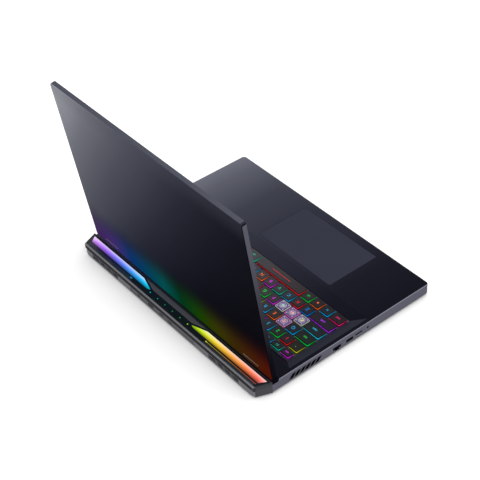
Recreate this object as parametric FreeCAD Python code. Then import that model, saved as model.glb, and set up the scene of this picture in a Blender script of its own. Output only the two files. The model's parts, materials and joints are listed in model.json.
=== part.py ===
import FreeCAD, Part
import math
import os

# Eighteen-inch laptop computer with a tapered rear module and a friction-hinged lid.
# Millimetres. +X is the user's right, +Y runs from the user to the rear, +Z is up.
# The origin is the middle of the footprint, on the surface that the laptop stands on.

V = FreeCAD.Vector

# Base case
BASE_WIDTH = 404.0
BASE_DEPTH = 312.0
DECK_HEIGHT = 20.4
FOOT_HEIGHT = 3.0
WALL = 1.8
DECK_SKIN = 1.6
BOTTOM_SKIN = 1.6
CORNER_RADIUS = 6.0
EDGE_CHAMFER = 0.8
SCREW_RADIUS = 1.0
SCREW_HEAD_RADIUS = 2.2
SCREW_HEAD = 0.8
SCREW_REACH = 4.5
BOSS_WALL = 1.8
FOOT_WIDTH = 9.0
FOOT_FRONT = 24.0
FOOT_REAR = 21.0
FRONT_FOOT_START = 56.4
FRONT_FOOT_LENGTH = 98.7
BOSS_INSET = 9.0
BOSS_FRONT = 10.0
BOSS_REAR = 12.0
BOSS_JACK_GAP = 24.2
BOSS_LAN_GAP = 17.2
HEAD_SINK = 0.1
OVER = 1.0

# Hinge trough and rear module
MODULE_DEPTH = 24.0
MODULE_RISE = 1.4
MODULE_TAPER = 9.6
MODULE_SKIN = 1.6
MODULE_CORNER = 6.0
MODULE_CORNER_DEPTH = 2.0
BAND_STEP = 1.2
BAND_END = 6.0
BAND_TOP = 2.0
GROOVE_COUNT = 6
GROOVE_WIDTH = 1.2
GROOVE_LENGTH = 5.8
GROOVE_DROP = 4.1
GROOVE_LEAN = 35.0
TROUGH_LENGTH = 12.1
TROUGH_DEPTH = 3.2
TROUGH_SLOPE = 3.0

# Light bar in the top of the rear module
TRAY_DEPTH = 6.2
SHELF_SKIN = 1.4
RIM_WIDTH = 1.6
LEDGE_WIDTH = 1.2
COVER_SKIN = 1.2
COVER_SINK = 0.5
LIGHT_BOARD_SKIN = 1.2
GUIDE_FRONT = 3.8
GUIDE_WIDTH = 10.6
GUIDE_TIP_X = 47.0
GUIDE_BEND = 26.0
GUIDE_END = 6.4
GUIDE_TIP_SHARE = 0.73
GUIDE_TIP_BACK = 6.0
GUIDE_MITRE = 6.2
GUIDE_FLAT = 1.0
GUIDE_SLOPE = 1.8
STRIP_GAP = 2.7
STRIP_WIDTH = 0.9
STRIP_START_X = 84.0
DOT_PITCH = 17.0
DOT_RADIUS = 0.8
DOT_COUNT = 6

# Lid
LID_INSET = 2.7
LID_LIP = 1.4
LID_THICKNESS = 7.0
LID_GAP = 0.6
LID_SKIN = 1.2
LID_WALL = 1.6
LID_RADIUS = 5.0
LID_CHAMFER = 0.9
OPEN_ANGLE = 98.0
SIDE_BEZEL = 3.9
TOP_BEZEL = 7.0
CHIN = 34.0
BEZEL_SKIN = 1.2
PANEL_SKIN = 3.0
PANEL_MARGIN = 2.0
LENS_RADIUS = 1.5
WEBCAM_LENGTH = 64.0
BUMPER_LENGTH = 18.0
BUMPER_WIDTH = 1.2
BUMPER_INSET = 22.0
BUMPER_RADIUS = 0.5
STOP_LENGTH = 31.0
STOP_WIDTH = 2.0
STOP_INSET = 45.0
STOP_RISE = 8.5

# Lid hinge
HINGE_SETBACK = 6.2
HINGE_RISE = 3.0
HINGE_OVERHANG = 3.4
HINGE_INSET = 52.0
HINGE_STRIP = 22.2
HINGE_PLATE = 2.0
BARREL_LENGTH = 24.0
PIN_RADIUS = 1.3
KNUCKLE_LENGTH = 9.0
ARM_LENGTH = 26.0
ARM_SKIN = 1.4
HINGE_FOOT = 3.6
LEG_SETBACK = 0.6

# Keyboard
KEYBOARD_INSET = 21.6
ROW_PITCH = 19.2
KEY_GAP = 3.0
KEY_HEIGHT = 2.0
KEY_TRAVEL = 1.7
KEY_RADIUS = 1.2
KEY_CHAMFER = 0.35
KEY_BELOW_DECK = 0.5
STEM_SIZE = 5.0
STEM_ENTRY = 0.7
FUNCTION_DEPTH = 13.4
FUNCTION_GAP = 1.5
NUMPAD_PITCH = 17.4
NUMPAD_GAP = 3.2
BEVEL_FRONT = 17.6
BEVEL_SIDE = 15.0
BEVEL_REAR = 9.0
POCKET_DEPTH = 4.0
POCKET_LIP = 0.9
POCKET_MARGIN = 1.6
PLATE_SKIN = 1.2
PLATE_LAP = 3.2
BACKLIGHT_SKIN = 0.4

# Touchpad
TOUCHPAD_WIDTH = 151.8
TOUCHPAD_FRONT = 15.6
TOUCHPAD_REAR = 6.8
TOUCHPAD_SKIN = 1.4
TOUCHPAD_SINK = 0.15
TOUCHPAD_RADIUS = 2.0
PIVOT_RADIUS = 0.8
PIVOT_REACH = 8.0
EAR_REACH = 3.0
EAR_GAP = 1.0
BRACKET_SKIN = 1.0
BRACKET_RAIL = 4.0
BRACKET_RIM = 3.0

# Shared fits
RUNNING_FIT = 0.05
SLIDING_FIT = 0.3
SEAM = 0.15
INNER_GAP = 0.4

# Cooling
FAN_SIZE = 80.0
FAN_INSET = 61.0
FAN_REAR_GAP = 2.0
FAN_BLADES = 31
FAN_SKIN = 0.8
FAN_HUB_RADIUS = 13.0
FAN_TIP_GAP = 4.5
FAN_SHAFT_RADIUS = 1.2
EXHAUST_WIDTH = 63.0
EXHAUST_RIGHT_INSET = 60.2
EXHAUST_LEFT_INSET = 72.0
PILLAR_WIDTH = 31.0
GRILLE_DEPTH = 2.6
GRILLE_SINK = 0.6
RIB_PITCH = 15.6
FIN_COUNT = 18
FIN_SKIN = 0.5
PIPE_SKIN = 1.8
PIPE_WIDTH = 7.0
SLOT_PITCH = 9.0
SLOT_WIDTH = 6.5
SLOT_COUNT = 6
SLOT_START = 22.6
SLOT_LOW = 2.8
SLOT_HIGH = 0.9
SLOT_LEAN = 5.8
INTAKE_PITCH = 4.4
INTAKE_WIDTH = 2.2
INTAKE_COUNT = 13
INTAKE_LENGTH = 52.0
SPEAKER_SLOTS = 5
SPEAKER_SLOT_LENGTH = 31.0
GRILLE_RIM = 1.0
GRILLE_RIBS = 3
RIB_LEAN = 3.0
RIB_WIDTH = 2.5
BLADE_SKIN = 0.6
BLADE_TURN = 22.0
BLADE_ROOT = 1.5
FAN_MOUTH = 6.0

# Boards, battery and speakers
BOARD_SKIN = 1.2
BOARD_GAP = 9.0
BOARD_EDGE = 1.0
STAND_INSET = 12.0
STAND_SETBACK = 5.0
POST_SETBACK = 8.0
CHIP_SKIN = 1.2
PROCESSOR_INSET = 44.0
PROCESSOR_SIZE = 28.0
GRAPHICS_INSET = 54.0
GRAPHICS_SIZE = 36.0
COLD_PLATE_SETBACK = 52.0
COLD_PLATE_DEPTH = 32.0
COLD_PLATE_LEFT = 22.0
COLD_PLATE_RIGHT = 26.0
PIPE_LAP = 10.0
CARD_SKIN = 1.2
CARD_LIFT = 0.4
MEMORY_PITCH = 32.0
MEMORY_END = 2.0
MEMORY_LENGTH = 70.0
MEMORY_DEPTH = 30.0
HOLDER_DEPTH = 5.0
HOLDER_LAP = 1.0
HOLDER_SKIN = 0.3
STORAGE_START = 8.0
STORAGE_LENGTH = 66.0
STORAGE_DEPTH = 22.0
STORAGE_SKIN = 1.8
CLAMP_LENGTH = 6.0
WIRELESS_WIDTH = 22.0
WIRELESS_DEPTH = 30.0
WIRELESS_SKIN = 1.0
WIRELESS_EDGE = 4.0
BATTERY_FRONT = 22.0
BATTERY_GAP = 36.0
BATTERY_SIDE = 20.0
BATTERY_RADIUS = 2.0
SPEAKER_RADIUS = 3.0
SPEAKER_RIM = 4.0
SPEAKER_WIDTH = 30.0
SPEAKER_LENGTH = 52.0
SPEAKER_INSET = 27.0

# Sockets
SOCKET_SHELL = 0.6
USB_WIDTH = 12.6
USB_HEIGHT = 5.2
USB_DEPTH = 13.0
LAN_WIDTH = 14.6
LAN_HEIGHT = 5.2
LAN_LATCH = 2.2
LAN_DEPTH = 15.0
CARD_WIDTH = 11.8
CARD_HEIGHT = 1.6
CARD_DEPTH = 13.5
JACK_RADIUS = 1.75
JACK_DEPTH = 13.0
INLET_RADIUS = 2.8
VIDEO_WIDTH = 14.6
VIDEO_HEIGHT = 5.0
TYPEC_WIDTH = 9.0
TYPEC_HEIGHT = 3.2
LOCK_WIDTH = 7.0
LOCK_HEIGHT = 3.0
LAN_SETBACK = 19.1
USB_SETBACK = 23.0
CARD_SETBACK = 17.0
JACK_SETBACK = 16.6
USB_PITCH = 21.8
LOCK_SETBACK = 18.2
SOCKET_END = 2.0
PORT_DEPTH = 11.0
INLET_INSET = 19.3
VIDEO_PITCH = 27.6
TYPEC_START = 25.2
TYPEC_PITCH = 20.0
TONGUE_SKIN = 1.2
TONGUE_WIDTH = 10.0
TYPEC_TONGUE = 0.7
USB_TONGUE = 2.0
USB_TONGUE_DROP = 0.2
USB_TONGUE_EDGE = 0.8

# Levels and lines that follow from the sizes above
half = BASE_WIDTH / 2
front_y = -BASE_DEPTH / 2
rear_y = BASE_DEPTH / 2
module_y = rear_y - MODULE_DEPTH
module_top = DECK_HEIGHT + MODULE_RISE
deck_end = module_y - TROUGH_LENGTH
trough_z = DECK_HEIGHT - TROUGH_DEPTH
deck_under = DECK_HEIGHT - DECK_SKIN
trough_under = trough_z - DECK_SKIN
floor_z = FOOT_HEIGHT + BOTTOM_SKIN
axis_y = module_y - HINGE_SETBACK
lid_inner = DECK_HEIGHT + LID_GAP
lid_outer = lid_inner + LID_THICKNESS
axis_z = lid_inner + HINGE_RISE
lid_rear = axis_y + HINGE_OVERHANG
lid_front = front_y - LID_LIP
lid_half = half - LID_INSET
hinge_x = half - HINGE_INSET
fan_x = half - FAN_INSET
fan_y1 = deck_end - FAN_REAR_GAP
fan_y0 = fan_y1 - FAN_SIZE
fan_y = (fan_y0 + fan_y1) / 2
exhaust_right_x = half - EXHAUST_RIGHT_INSET
exhaust_left_x = EXHAUST_LEFT_INSET - half

parts = {}


# Shape helpers

def box(x0, x1, y0, y1, z0, z1):
    return Part.makeBox(x1 - x0, y1 - y0, z1 - z0, V(x0, y0, z0))


def cylinder(x, y, z0, z1, radius):
    return Part.makeCylinder(radius, z1 - z0, V(x, y, z0))


def rod_x(x0, x1, y, z, radius):
    return Part.makeCylinder(radius, x1 - x0, V(x0, y, z), V(1, 0, 0))


def rod_y(x, y0, y1, z, radius):
    return Part.makeCylinder(radius, y1 - y0, V(x, y0, z), V(0, 1, 0))


def closed_wire(points):
    return Part.makePolygon(points + [points[0]])


def prism_x(outline, x0, x1):
    face = Part.Face(closed_wire([V(x0, y, z) for y, z in outline]))
    return face.extrude(V(x1 - x0, 0, 0))


def prism_y(outline, y0, y1):
    face = Part.Face(closed_wire([V(x, y0, z) for x, z in outline]))
    return face.extrude(V(0, y1 - y0, 0))


def prism_z(outline, z0, z1):
    face = Part.Face(closed_wire([V(x, y, z0) for x, y in outline]))
    return face.extrude(V(0, 0, z1 - z0))


def upright_edges(shape):
    return [e for e in shape.Edges if len(e.Vertexes) == 2
            and abs(e.Vertexes[0].X - e.Vertexes[1].X) < 1e-6
            and abs(e.Vertexes[0].Y - e.Vertexes[1].Y) < 1e-6]


def level_edges(shape, z):
    return [e for e in shape.Edges if all(abs(v.Z - z) < 1e-6 for v in e.Vertexes)]


def rounded_box(x0, x1, y0, y1, z0, z1, radius):
    block = box(x0, x1, y0, y1, z0, z1)
    return block.makeFillet(radius, upright_edges(block))


def fuse(shapes):
    return shapes[0].multiFuse(shapes[1:]).removeSplitter()


def mirror_x(shape):
    return shape.mirror(V(0, 0, 0), V(1, 0, 0))


def mirror_points(points):
    return [(-x, y) for x, y in points]


def open_lid(shape):
    turned = shape.copy()
    turned.rotate(V(0, axis_y, axis_z), V(-1, 0, 0), OPEN_ANGLE)
    return turned


# Keyboard levels and lines

main_units = 15
numpad_columns = 4
board_width = BASE_WIDTH - 2 * KEYBOARD_INSET
main_width = board_width - NUMPAD_GAP - numpad_columns * NUMPAD_PITCH
key_pitch = main_width / main_units
board_left = -board_width / 2
numpad_left = board_left + main_width + NUMPAD_GAP
pocket_rear_outer = deck_end - HINGE_STRIP
pocket_rear = pocket_rear_outer - BEVEL_REAR
keys_rear = pocket_rear - POCKET_MARGIN
function_y = keys_rear - FUNCTION_DEPTH
keys_front = function_y - FUNCTION_GAP - 5 * ROW_PITCH
pocket_front = keys_front - POCKET_MARGIN
pocket_front_outer = pocket_front - BEVEL_FRONT
pocket_side = board_width / 2 + POCKET_MARGIN / 4
pocket_side_outer = pocket_side + BEVEL_SIDE
pocket_z = DECK_HEIGHT - POCKET_DEPTH
plate_top = pocket_z - POCKET_LIP
plate_under = plate_top - PLATE_SKIN
backlight_under = plate_under - BACKLIGHT_SKIN
key_top = DECK_HEIGHT - KEY_BELOW_DECK
key_under = key_top - KEY_HEIGHT

# Rows from the front, each with its keys' widths in units of the key pitch
ROWS = (
    ("keys_bottom_row", (1.25, 1, 1, 1, 5, 1.25, 1.5, 1, 1, 1)),
    ("keys_lower_row", (2.25, 1, 1, 1, 1, 1, 1, 1, 1, 1, 1, 0.75, 1, 1)),
    ("keys_home_row", (1.75, 1, 1, 1, 1, 1, 1, 1, 1, 1, 1, 1, 2.25)),
    ("keys_upper_row", (1.5, 1, 1, 1, 1, 1, 1, 1, 1, 1, 1, 1, 1, 1.5)),
    ("keys_number_row", (1, 1, 1, 1, 1, 1, 1, 1, 1, 1, 1, 1, 1, 2)),
)
SINGLE_KEYS = {
    ("keys_bottom_row", 4): "space_bar",
    ("keys_upper_row", 2): "key_w",
    ("keys_home_row", 1): "key_a",
    ("keys_home_row", 2): "key_s",
    ("keys_home_row", 3): "key_d",
}
# Number pad keys as column, row, columns wide and rows deep
NUMPAD_KEYS = (
    (0, 0, 2, 1), (2, 0, 1, 1), (3, 0, 1, 2),
    (0, 1, 1, 1), (1, 1, 1, 1), (2, 1, 1, 1),
    (0, 2, 1, 1), (1, 2, 1, 1), (2, 2, 1, 1), (3, 2, 1, 2),
    (0, 3, 1, 1), (1, 3, 1, 1), (2, 3, 1, 1),
    (0, 4, 1, 1), (1, 4, 1, 1), (2, 4, 1, 1), (3, 4, 1, 1),
)


def key_cells():
    cells = []
    for row, (name, widths) in enumerate(ROWS):
        x = board_left
        y = keys_front + row * ROW_PITCH
        for index, units in enumerate(widths):
            node = SINGLE_KEYS.get((name, index), name)
            cells.append((node, x, x + units * key_pitch, y, y + ROW_PITCH))
            x += units * key_pitch
    for column, row, wide, deep in NUMPAD_KEYS:
        x = numpad_left + column * NUMPAD_PITCH
        y = keys_front + row * ROW_PITCH
        cells.append(("keys_numpad", x, x + wide * NUMPAD_PITCH, y, y + deep * ROW_PITCH))
    for index in range(main_units):
        x = board_left + index * key_pitch
        cells.append(("keys_function_row", x, x + key_pitch, function_y, keys_rear))
    for index in range(numpad_columns):
        x = numpad_left + index * NUMPAD_PITCH
        node = "power_button" if index == numpad_columns - 1 else "keys_function_row"
        cells.append((node, x, x + NUMPAD_PITCH, function_y, keys_rear))
    return cells


def key_solid(x0, x1, y0, y1):
    inset = KEY_GAP / 2
    cap = rounded_box(x0 + inset, x1 - inset, y0 + inset, y1 - inset, key_under, key_top, KEY_RADIUS)
    cap = cap.makeChamfer(KEY_CHAMFER, level_edges(cap, key_top))
    return cap.fuse(square_post((x0 + x1) / 2, (y0 + y1) / 2, STEM_SIZE, plate_top - STEM_ENTRY, key_under))


def square_post(x, y, size, z0, z1):
    return box(x - size / 2, x + size / 2, y - size / 2, y + size / 2, z0, z1)


def build_keyboard():
    groups = {}
    holes = []
    for node, x0, x1, y0, y1 in key_cells():
        groups.setdefault(node, []).append(key_solid(x0, x1, y0, y1))
        holes.append(square_post((x0 + x1) / 2, (y0 + y1) / 2, STEM_SIZE + 2 * SLIDING_FIT,
                                 backlight_under - OVER, plate_top + OVER))
    for node, solids in groups.items():
        parts[node] = solids[0] if len(solids) == 1 else Part.makeCompound(solids)
    plate = box(-pocket_side - PLATE_LAP, pocket_side + PLATE_LAP, pocket_front - PLATE_LAP,
                pocket_rear + PLATE_LAP, plate_under, plate_top)
    sheet = box(-pocket_side, pocket_side, pocket_front, pocket_rear, backlight_under, plate_under)
    cutter = Part.makeCompound(holes)
    parts["keyboard_plate"] = plate.cut(cutter)
    parts["backlight_sheet"] = sheet.cut(cutter)


# Touchpad, centred on the letter keys and hinged near its rear edge

pad_x = board_left + main_width / 2
pad_x0 = pad_x - TOUCHPAD_WIDTH / 2
pad_x1 = pad_x + TOUCHPAD_WIDTH / 2
pad_y0 = front_y + TOUCHPAD_FRONT
pad_y1 = pocket_front_outer - TOUCHPAD_REAR
pad_top = DECK_HEIGHT - TOUCHPAD_SINK
pad_under = pad_top - TOUCHPAD_SKIN
pivot_y = pad_y1 - 3 * PIVOT_RADIUS
pivot_z = pad_under - PIVOT_RADIUS - SLIDING_FIT
bracket_top = pivot_z - 3 * PIVOT_RADIUS
pivot_xs = (pad_x - TOUCHPAD_WIDTH / 4, pad_x + TOUCHPAD_WIDTH / 4)


def build_touchpad():
    pad = rounded_box(pad_x0, pad_x1, pad_y0, pad_y1, pad_under, pad_top, TOUCHPAD_RADIUS)
    pieces = [pad]
    for x in pivot_xs:
        pieces.append(rod_x(x - PIVOT_REACH, x + PIVOT_REACH, pivot_y, pivot_z, PIVOT_RADIUS))
        gap = EAR_REACH + EAR_GAP
        for x0, x1 in ((x - PIVOT_REACH, x - gap), (x + gap, x + PIVOT_REACH)):
            pieces.append(box(x0, x1, pivot_y - PIVOT_RADIUS / 2, pivot_y + PIVOT_RADIUS / 2,
                              pivot_z, pad_under))
    parts["touchpad"] = fuse(pieces)


def build_touchpad_bracket():
    y0 = pad_y0 - BRACKET_RIM
    y1 = pad_y1 + BRACKET_RIM
    x0 = pad_x0 - 2 * SLIDING_FIT
    x1 = pad_x1 + 2 * SLIDING_FIT
    pieces = [box(x0 - BRACKET_RAIL, x1 + BRACKET_RAIL, y0, y1, bracket_top - BRACKET_SKIN, bracket_top),
              box(x0 - BRACKET_RAIL, x0, y0, y1, bracket_top, deck_under),
              box(x1, x1 + BRACKET_RAIL, y0, y1, bracket_top, deck_under),
              cylinder(pad_x, pad_y0 + 4 * BRACKET_RIM, bracket_top, pad_under - 3 * SLIDING_FIT,
                       BRACKET_RIM)]
    bores = []
    for x in pivot_xs:
        pieces.append(box(x - EAR_REACH, x + EAR_REACH, pivot_y - 2 * PIVOT_RADIUS,
                          pivot_y + 2 * PIVOT_RADIUS, bracket_top, pivot_z))
        bores.append(rod_x(x - PIVOT_REACH, x + PIVOT_REACH, pivot_y, pivot_z, PIVOT_RADIUS + RUNNING_FIT))
    parts["touchpad_bracket"] = fuse(pieces).cut(bores)


# Socket places, counted forward from the fans along each side and across the rear panel

socket_z = (floor_z + plate_top) / 2 + LAN_LATCH / 4
lan_y = fan_y0 - LAN_SETBACK
left_usb_y = lan_y - USB_SETBACK
card_y = left_usb_y - CARD_SETBACK
card_z = socket_z + LAN_HEIGHT / 4
jack_y = card_y - JACK_SETBACK
jack_z = card_z
right_usb_ys = (left_usb_y, left_usb_y - USB_PITCH)
lock_y = left_usb_y + LOCK_SETBACK

boss_x = half - BOSS_INSET
boss_ys = (front_y + BOSS_FRONT, jack_y - BOSS_JACK_GAP, lan_y + BOSS_LAN_GAP,
           deck_end - BOSS_REAR)
boss_points = [(side * boss_x, y) for side in (-1, 1) for y in boss_ys]

# Boards hang under the keyboard, clear of the pressed keys

board_top = backlight_under - KEY_TRAVEL - INNER_GAP
board_under = board_top - BOARD_SKIN
chip_under = board_under - CHIP_SKIN
board_x = fan_x - FAN_SIZE / 2 - BOARD_GAP
board_y1 = deck_end + TROUGH_SLOPE
plate_y0 = board_y1 - COLD_PLATE_SETBACK
plate_y1 = plate_y0 + COLD_PLATE_DEPTH
processor_x = PROCESSOR_INSET - board_x
graphics_x = board_x - GRAPHICS_INSET
memory_y0 = plate_y0 - 2 * MEMORY_PITCH - BOARD_EDGE
board_y0 = memory_y0 - BOARD_EDGE
stand_x = board_x - STAND_INSET
stand_y = board_y0 + STAND_SETBACK
post_y = deck_end - POST_SETBACK
speaker_x = half - SPEAKER_INSET
speaker_y = front_y + SPEAKER_LENGTH


# Base case

def hinge_slots():
    reach = BARREL_LENGTH / 2 + SLIDING_FIT
    cuts = []
    for x in (-hinge_x, hinge_x):
        cuts.append(box(x - reach, x + reach, deck_end - TROUGH_SLOPE, axis_y - SLIDING_FIT,
                        trough_under - OVER, DECK_HEIGHT + OVER))
    return cuts


def side_slots():
    low = floor_z + SLOT_LOW
    high = plate_top - SLOT_HIGH
    cuts = []
    for index in range(SLOT_COUNT):
        y = deck_end - SLOT_START - index * SLOT_PITCH
        outline = [(y, low), (y + SLOT_WIDTH, low), (y + SLOT_WIDTH - SLOT_LEAN, high), (y - SLOT_LEAN, high)]
        cuts.append(prism_x(outline, -half - OVER, -half + WALL + OVER))
        cuts.append(prism_x(outline, half - WALL - OVER, half + OVER))
    return cuts


def left_window(y, width, z0, z1):
    return box(-half - OVER, -half + WALL + OVER, y - width / 2, y + width / 2, z0, z1)


def side_socket_cuts():
    lan_low = socket_z - LAN_HEIGHT / 2
    usb_low = socket_z - USB_HEIGHT / 2
    cuts = [left_window(lan_y, LAN_WIDTH, lan_low, lan_low + LAN_HEIGHT),
            left_window(lan_y, LAN_WIDTH / 2, lan_low - LAN_LATCH, lan_low + LAN_HEIGHT),
            left_window(left_usb_y, USB_WIDTH, usb_low, usb_low + USB_HEIGHT),
            left_window(card_y, CARD_WIDTH, card_z - CARD_HEIGHT / 2, card_z + CARD_HEIGHT / 2),
            rod_x(-half - OVER, -half + WALL + OVER, jack_y, jack_z, JACK_RADIUS)]
    for y in right_usb_ys:
        cuts.append(mirror_x(left_window(y, USB_WIDTH, usb_low, usb_low + USB_HEIGHT)))
    lock_low = socket_z - LOCK_HEIGHT / 2
    cuts.append(mirror_x(left_window(lock_y, LOCK_WIDTH, lock_low, lock_low + LOCK_HEIGHT)))
    return cuts


def rectangle_wire(x, y0, y1, z):
    return closed_wire([V(-x, y0, z), V(x, y0, z), V(x, y1, z), V(-x, y1, z)])


def keyboard_pocket():
    grow = OVER / POCKET_DEPTH
    top = rectangle_wire(pocket_side_outer + BEVEL_SIDE * grow, pocket_front_outer - BEVEL_FRONT * grow,
                         pocket_rear_outer + BEVEL_REAR * grow, DECK_HEIGHT + OVER)
    low = rectangle_wire(pocket_side, pocket_front, pocket_rear, pocket_z)
    bevel = Part.makeLoft([low, top], True, True)
    opening = box(-pocket_side, pocket_side, pocket_front, pocket_rear, plate_top - 2 * OVER, pocket_z)
    return bevel.fuse(opening)


def build_top_case():
    profile = [(front_y, floor_z), (front_y, DECK_HEIGHT), (deck_end, DECK_HEIGHT),
               (deck_end + TROUGH_SLOPE, trough_z), (module_y, trough_z), (module_y, floor_z)]
    outer = prism_x(profile, -half, half)
    front_corners = [e for e in upright_edges(outer) if abs(e.Vertexes[0].Y - front_y) < 1e-6]
    outer = outer.makeFillet(CORNER_RADIUS, front_corners)
    rim = [e for e in level_edges(outer, DECK_HEIGHT) if abs(e.CenterOfMass.y - deck_end) > 1e-3]
    outer = outer.makeChamfer(EDGE_CHAMFER, rim)
    step = DECK_SKIN / 2
    hollow = [(front_y + WALL, floor_z - OVER), (front_y + WALL, deck_under),
              (deck_end - step, deck_under), (deck_end + TROUGH_SLOPE - step, trough_under),
              (module_y + OVER, trough_under), (module_y + OVER, floor_z - OVER)]
    shell = outer.cut(prism_x(hollow, -half + WALL, half - WALL))
    frame = box(-half + WALL, half - WALL, pocket_front_outer - DECK_SKIN, pocket_rear_outer + DECK_SKIN,
                plate_top, deck_under)
    posts = [cylinder(x, y, floor_z, deck_under, SCREW_RADIUS + BOSS_WALL) for x, y in boss_points]
    posts += [cylinder(x, post_y, board_top, deck_under, SCREW_RADIUS + BOSS_WALL)
              for x in (-stand_x, stand_x)]
    body = fuse([shell, frame] + posts)
    pilots = [cylinder(x, y, floor_z - OVER, floor_z + SCREW_REACH + INNER_GAP, SCREW_RADIUS + RUNNING_FIT)
              for x, y in boss_points]
    room = SLIDING_FIT
    pad_hole = rounded_box(pad_x0 - room, pad_x1 + room, pad_y0 - room, pad_y1 + room,
                           deck_under - OVER, DECK_HEIGHT + OVER, TOUCHPAD_RADIUS + room)
    cuts = [keyboard_pocket(), pad_hole] + pilots + hinge_slots() + side_slots() + side_socket_cuts()
    parts["top_case"] = body.cut(cuts)


def intake_slots(x, y, count, length):
    slots = []
    for index in range(count):
        line = x + (index - (count - 1) / 2) * INTAKE_PITCH
        slots.append(box(line - INTAKE_WIDTH / 2, line + INTAKE_WIDTH / 2, y - length / 2, y + length / 2,
                         FOOT_HEIGHT - OVER, floor_z + OVER))
    return slots


head_z = FOOT_HEIGHT + HEAD_SINK
head_top = head_z + SCREW_HEAD


def build_bottom_cover():
    plate = box(-half, half, front_y, module_y, FOOT_HEIGHT, floor_z)
    corners = [e for e in upright_edges(plate) if abs(e.Vertexes[0].Y - front_y) < 1e-6]
    plate = plate.makeFillet(CORNER_RADIUS, corners)
    rim = [e for e in level_edges(plate, FOOT_HEIGHT) if abs(e.CenterOfMass.y - module_y) > 1e-3]
    plate = plate.makeChamfer(BOTTOM_SKIN * 0.75, rim)
    stands = [cylinder(x, stand_y, floor_z, board_under, SCREW_RADIUS + BOSS_WALL)
              for x in (-stand_x, stand_x)]
    cover = fuse([plate] + stands)
    cuts = []
    for x in (-fan_x, fan_x):
        cuts += intake_slots(x, fan_y, INTAKE_COUNT, INTAKE_LENGTH)
    for x in (-speaker_x, speaker_x):
        cuts += intake_slots(x, speaker_y, SPEAKER_SLOTS, SPEAKER_SLOT_LENGTH)
    for x, y in boss_points:
        cuts.append(cylinder(x, y, FOOT_HEIGHT - OVER, floor_z + OVER, SCREW_RADIUS + SEAM))
        cuts.append(cylinder(x, y, FOOT_HEIGHT - OVER, head_top, SCREW_HEAD_RADIUS + SEAM))
    parts["bottom_cover"] = cover.cut(cuts)


def build_feet_and_screws():
    feet = [foot_bar(-fan_x, fan_x, deck_end - FOOT_REAR), cylinder(0, 0, 0, FOOT_HEIGHT, FOOT_WIDTH)]
    right = foot_bar(FRONT_FOOT_START, FRONT_FOOT_START + FRONT_FOOT_LENGTH, front_y + FOOT_FRONT)
    feet += [mirror_x(right), right]
    parts["rubber_feet"] = Part.makeCompound(feet)
    screws = []
    for x, y in boss_points:
        head = cylinder(x, y, head_z, head_top, SCREW_HEAD_RADIUS)
        screws.append(head.fuse(cylinder(x, y, head_top, floor_z + SCREW_REACH, SCREW_RADIUS)))
    parts["bottom_screws"] = Part.makeCompound(screws)


def foot_bar(x0, x1, y):
    return rounded_box(x0, x1, y - FOOT_WIDTH / 2, y + FOOT_WIDTH / 2, 0, FOOT_HEIGHT, FOOT_WIDTH * 0.45)


# Rear module

tray_z = module_top - TRAY_DEPTH
shelf_z = tray_z - SHELF_SKIN
cover_top = module_top - COVER_SINK
ledge_z = cover_top - COVER_SKIN
module_floor = FOOT_HEIGHT + MODULE_SKIN
fin_top = shelf_z - PIPE_SKIN - 2 * INNER_GAP
vent_top = fin_top + INNER_GAP
panel_x0 = exhaust_left_x + EXHAUST_WIDTH / 2 + PILLAR_WIDTH
panel_x1 = exhaust_right_x - EXHAUST_WIDTH / 2 - PILLAR_WIDTH
grille_y1 = rear_y - GRILLE_SINK
grille_y0 = grille_y1 - GRILLE_DEPTH


block_top = vent_top + BAND_STEP


def module_outline(inset_front, inset_side, inset_rear, cut_corners=False):
    slope = MODULE_TAPER / MODULE_DEPTH
    y0 = module_y + inset_front
    y1 = rear_y - inset_rear
    w0 = half - inset_front * slope - inset_side
    w1 = half - (MODULE_DEPTH - inset_rear) * slope - inset_side
    if not cut_corners:
        return [(-w0, y0), (w0, y0), (w1, y1), (-w1, y1)]
    w2 = w1 + MODULE_CORNER_DEPTH * slope
    y2 = y1 - MODULE_CORNER_DEPTH
    w3 = w1 - MODULE_CORNER
    return [(-w0, y0), (w0, y0), (w2, y2), (w3, y1), (-w3, y1), (-w2, y2)]


def end_grooves():
    cuts = []
    turn = math.degrees(math.atan2(MODULE_TAPER, MODULE_DEPTH))
    depth = MODULE_SKIN / 3
    for index in range(GROOVE_COUNT):
        y = module_y + MODULE_DEPTH * (index + 1) / (GROOVE_COUNT + 1)
        x = half - (y - module_y) * MODULE_TAPER / MODULE_DEPTH
        z = module_top - GROOVE_DROP
        groove = box(x - depth, x + OVER, y - GROOVE_WIDTH / 2, y + GROOVE_WIDTH / 2,
                     z - GROOVE_LENGTH / 2, z + GROOVE_LENGTH / 2)
        groove.rotate(V(x, y, z), V(1, 0, 0), -GROOVE_LEAN)
        groove.rotate(V(x, y, z), V(0, 0, 1), turn)
        cuts.append(groove)
        cuts.append(mirror_x(groove))
    return cuts


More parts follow.
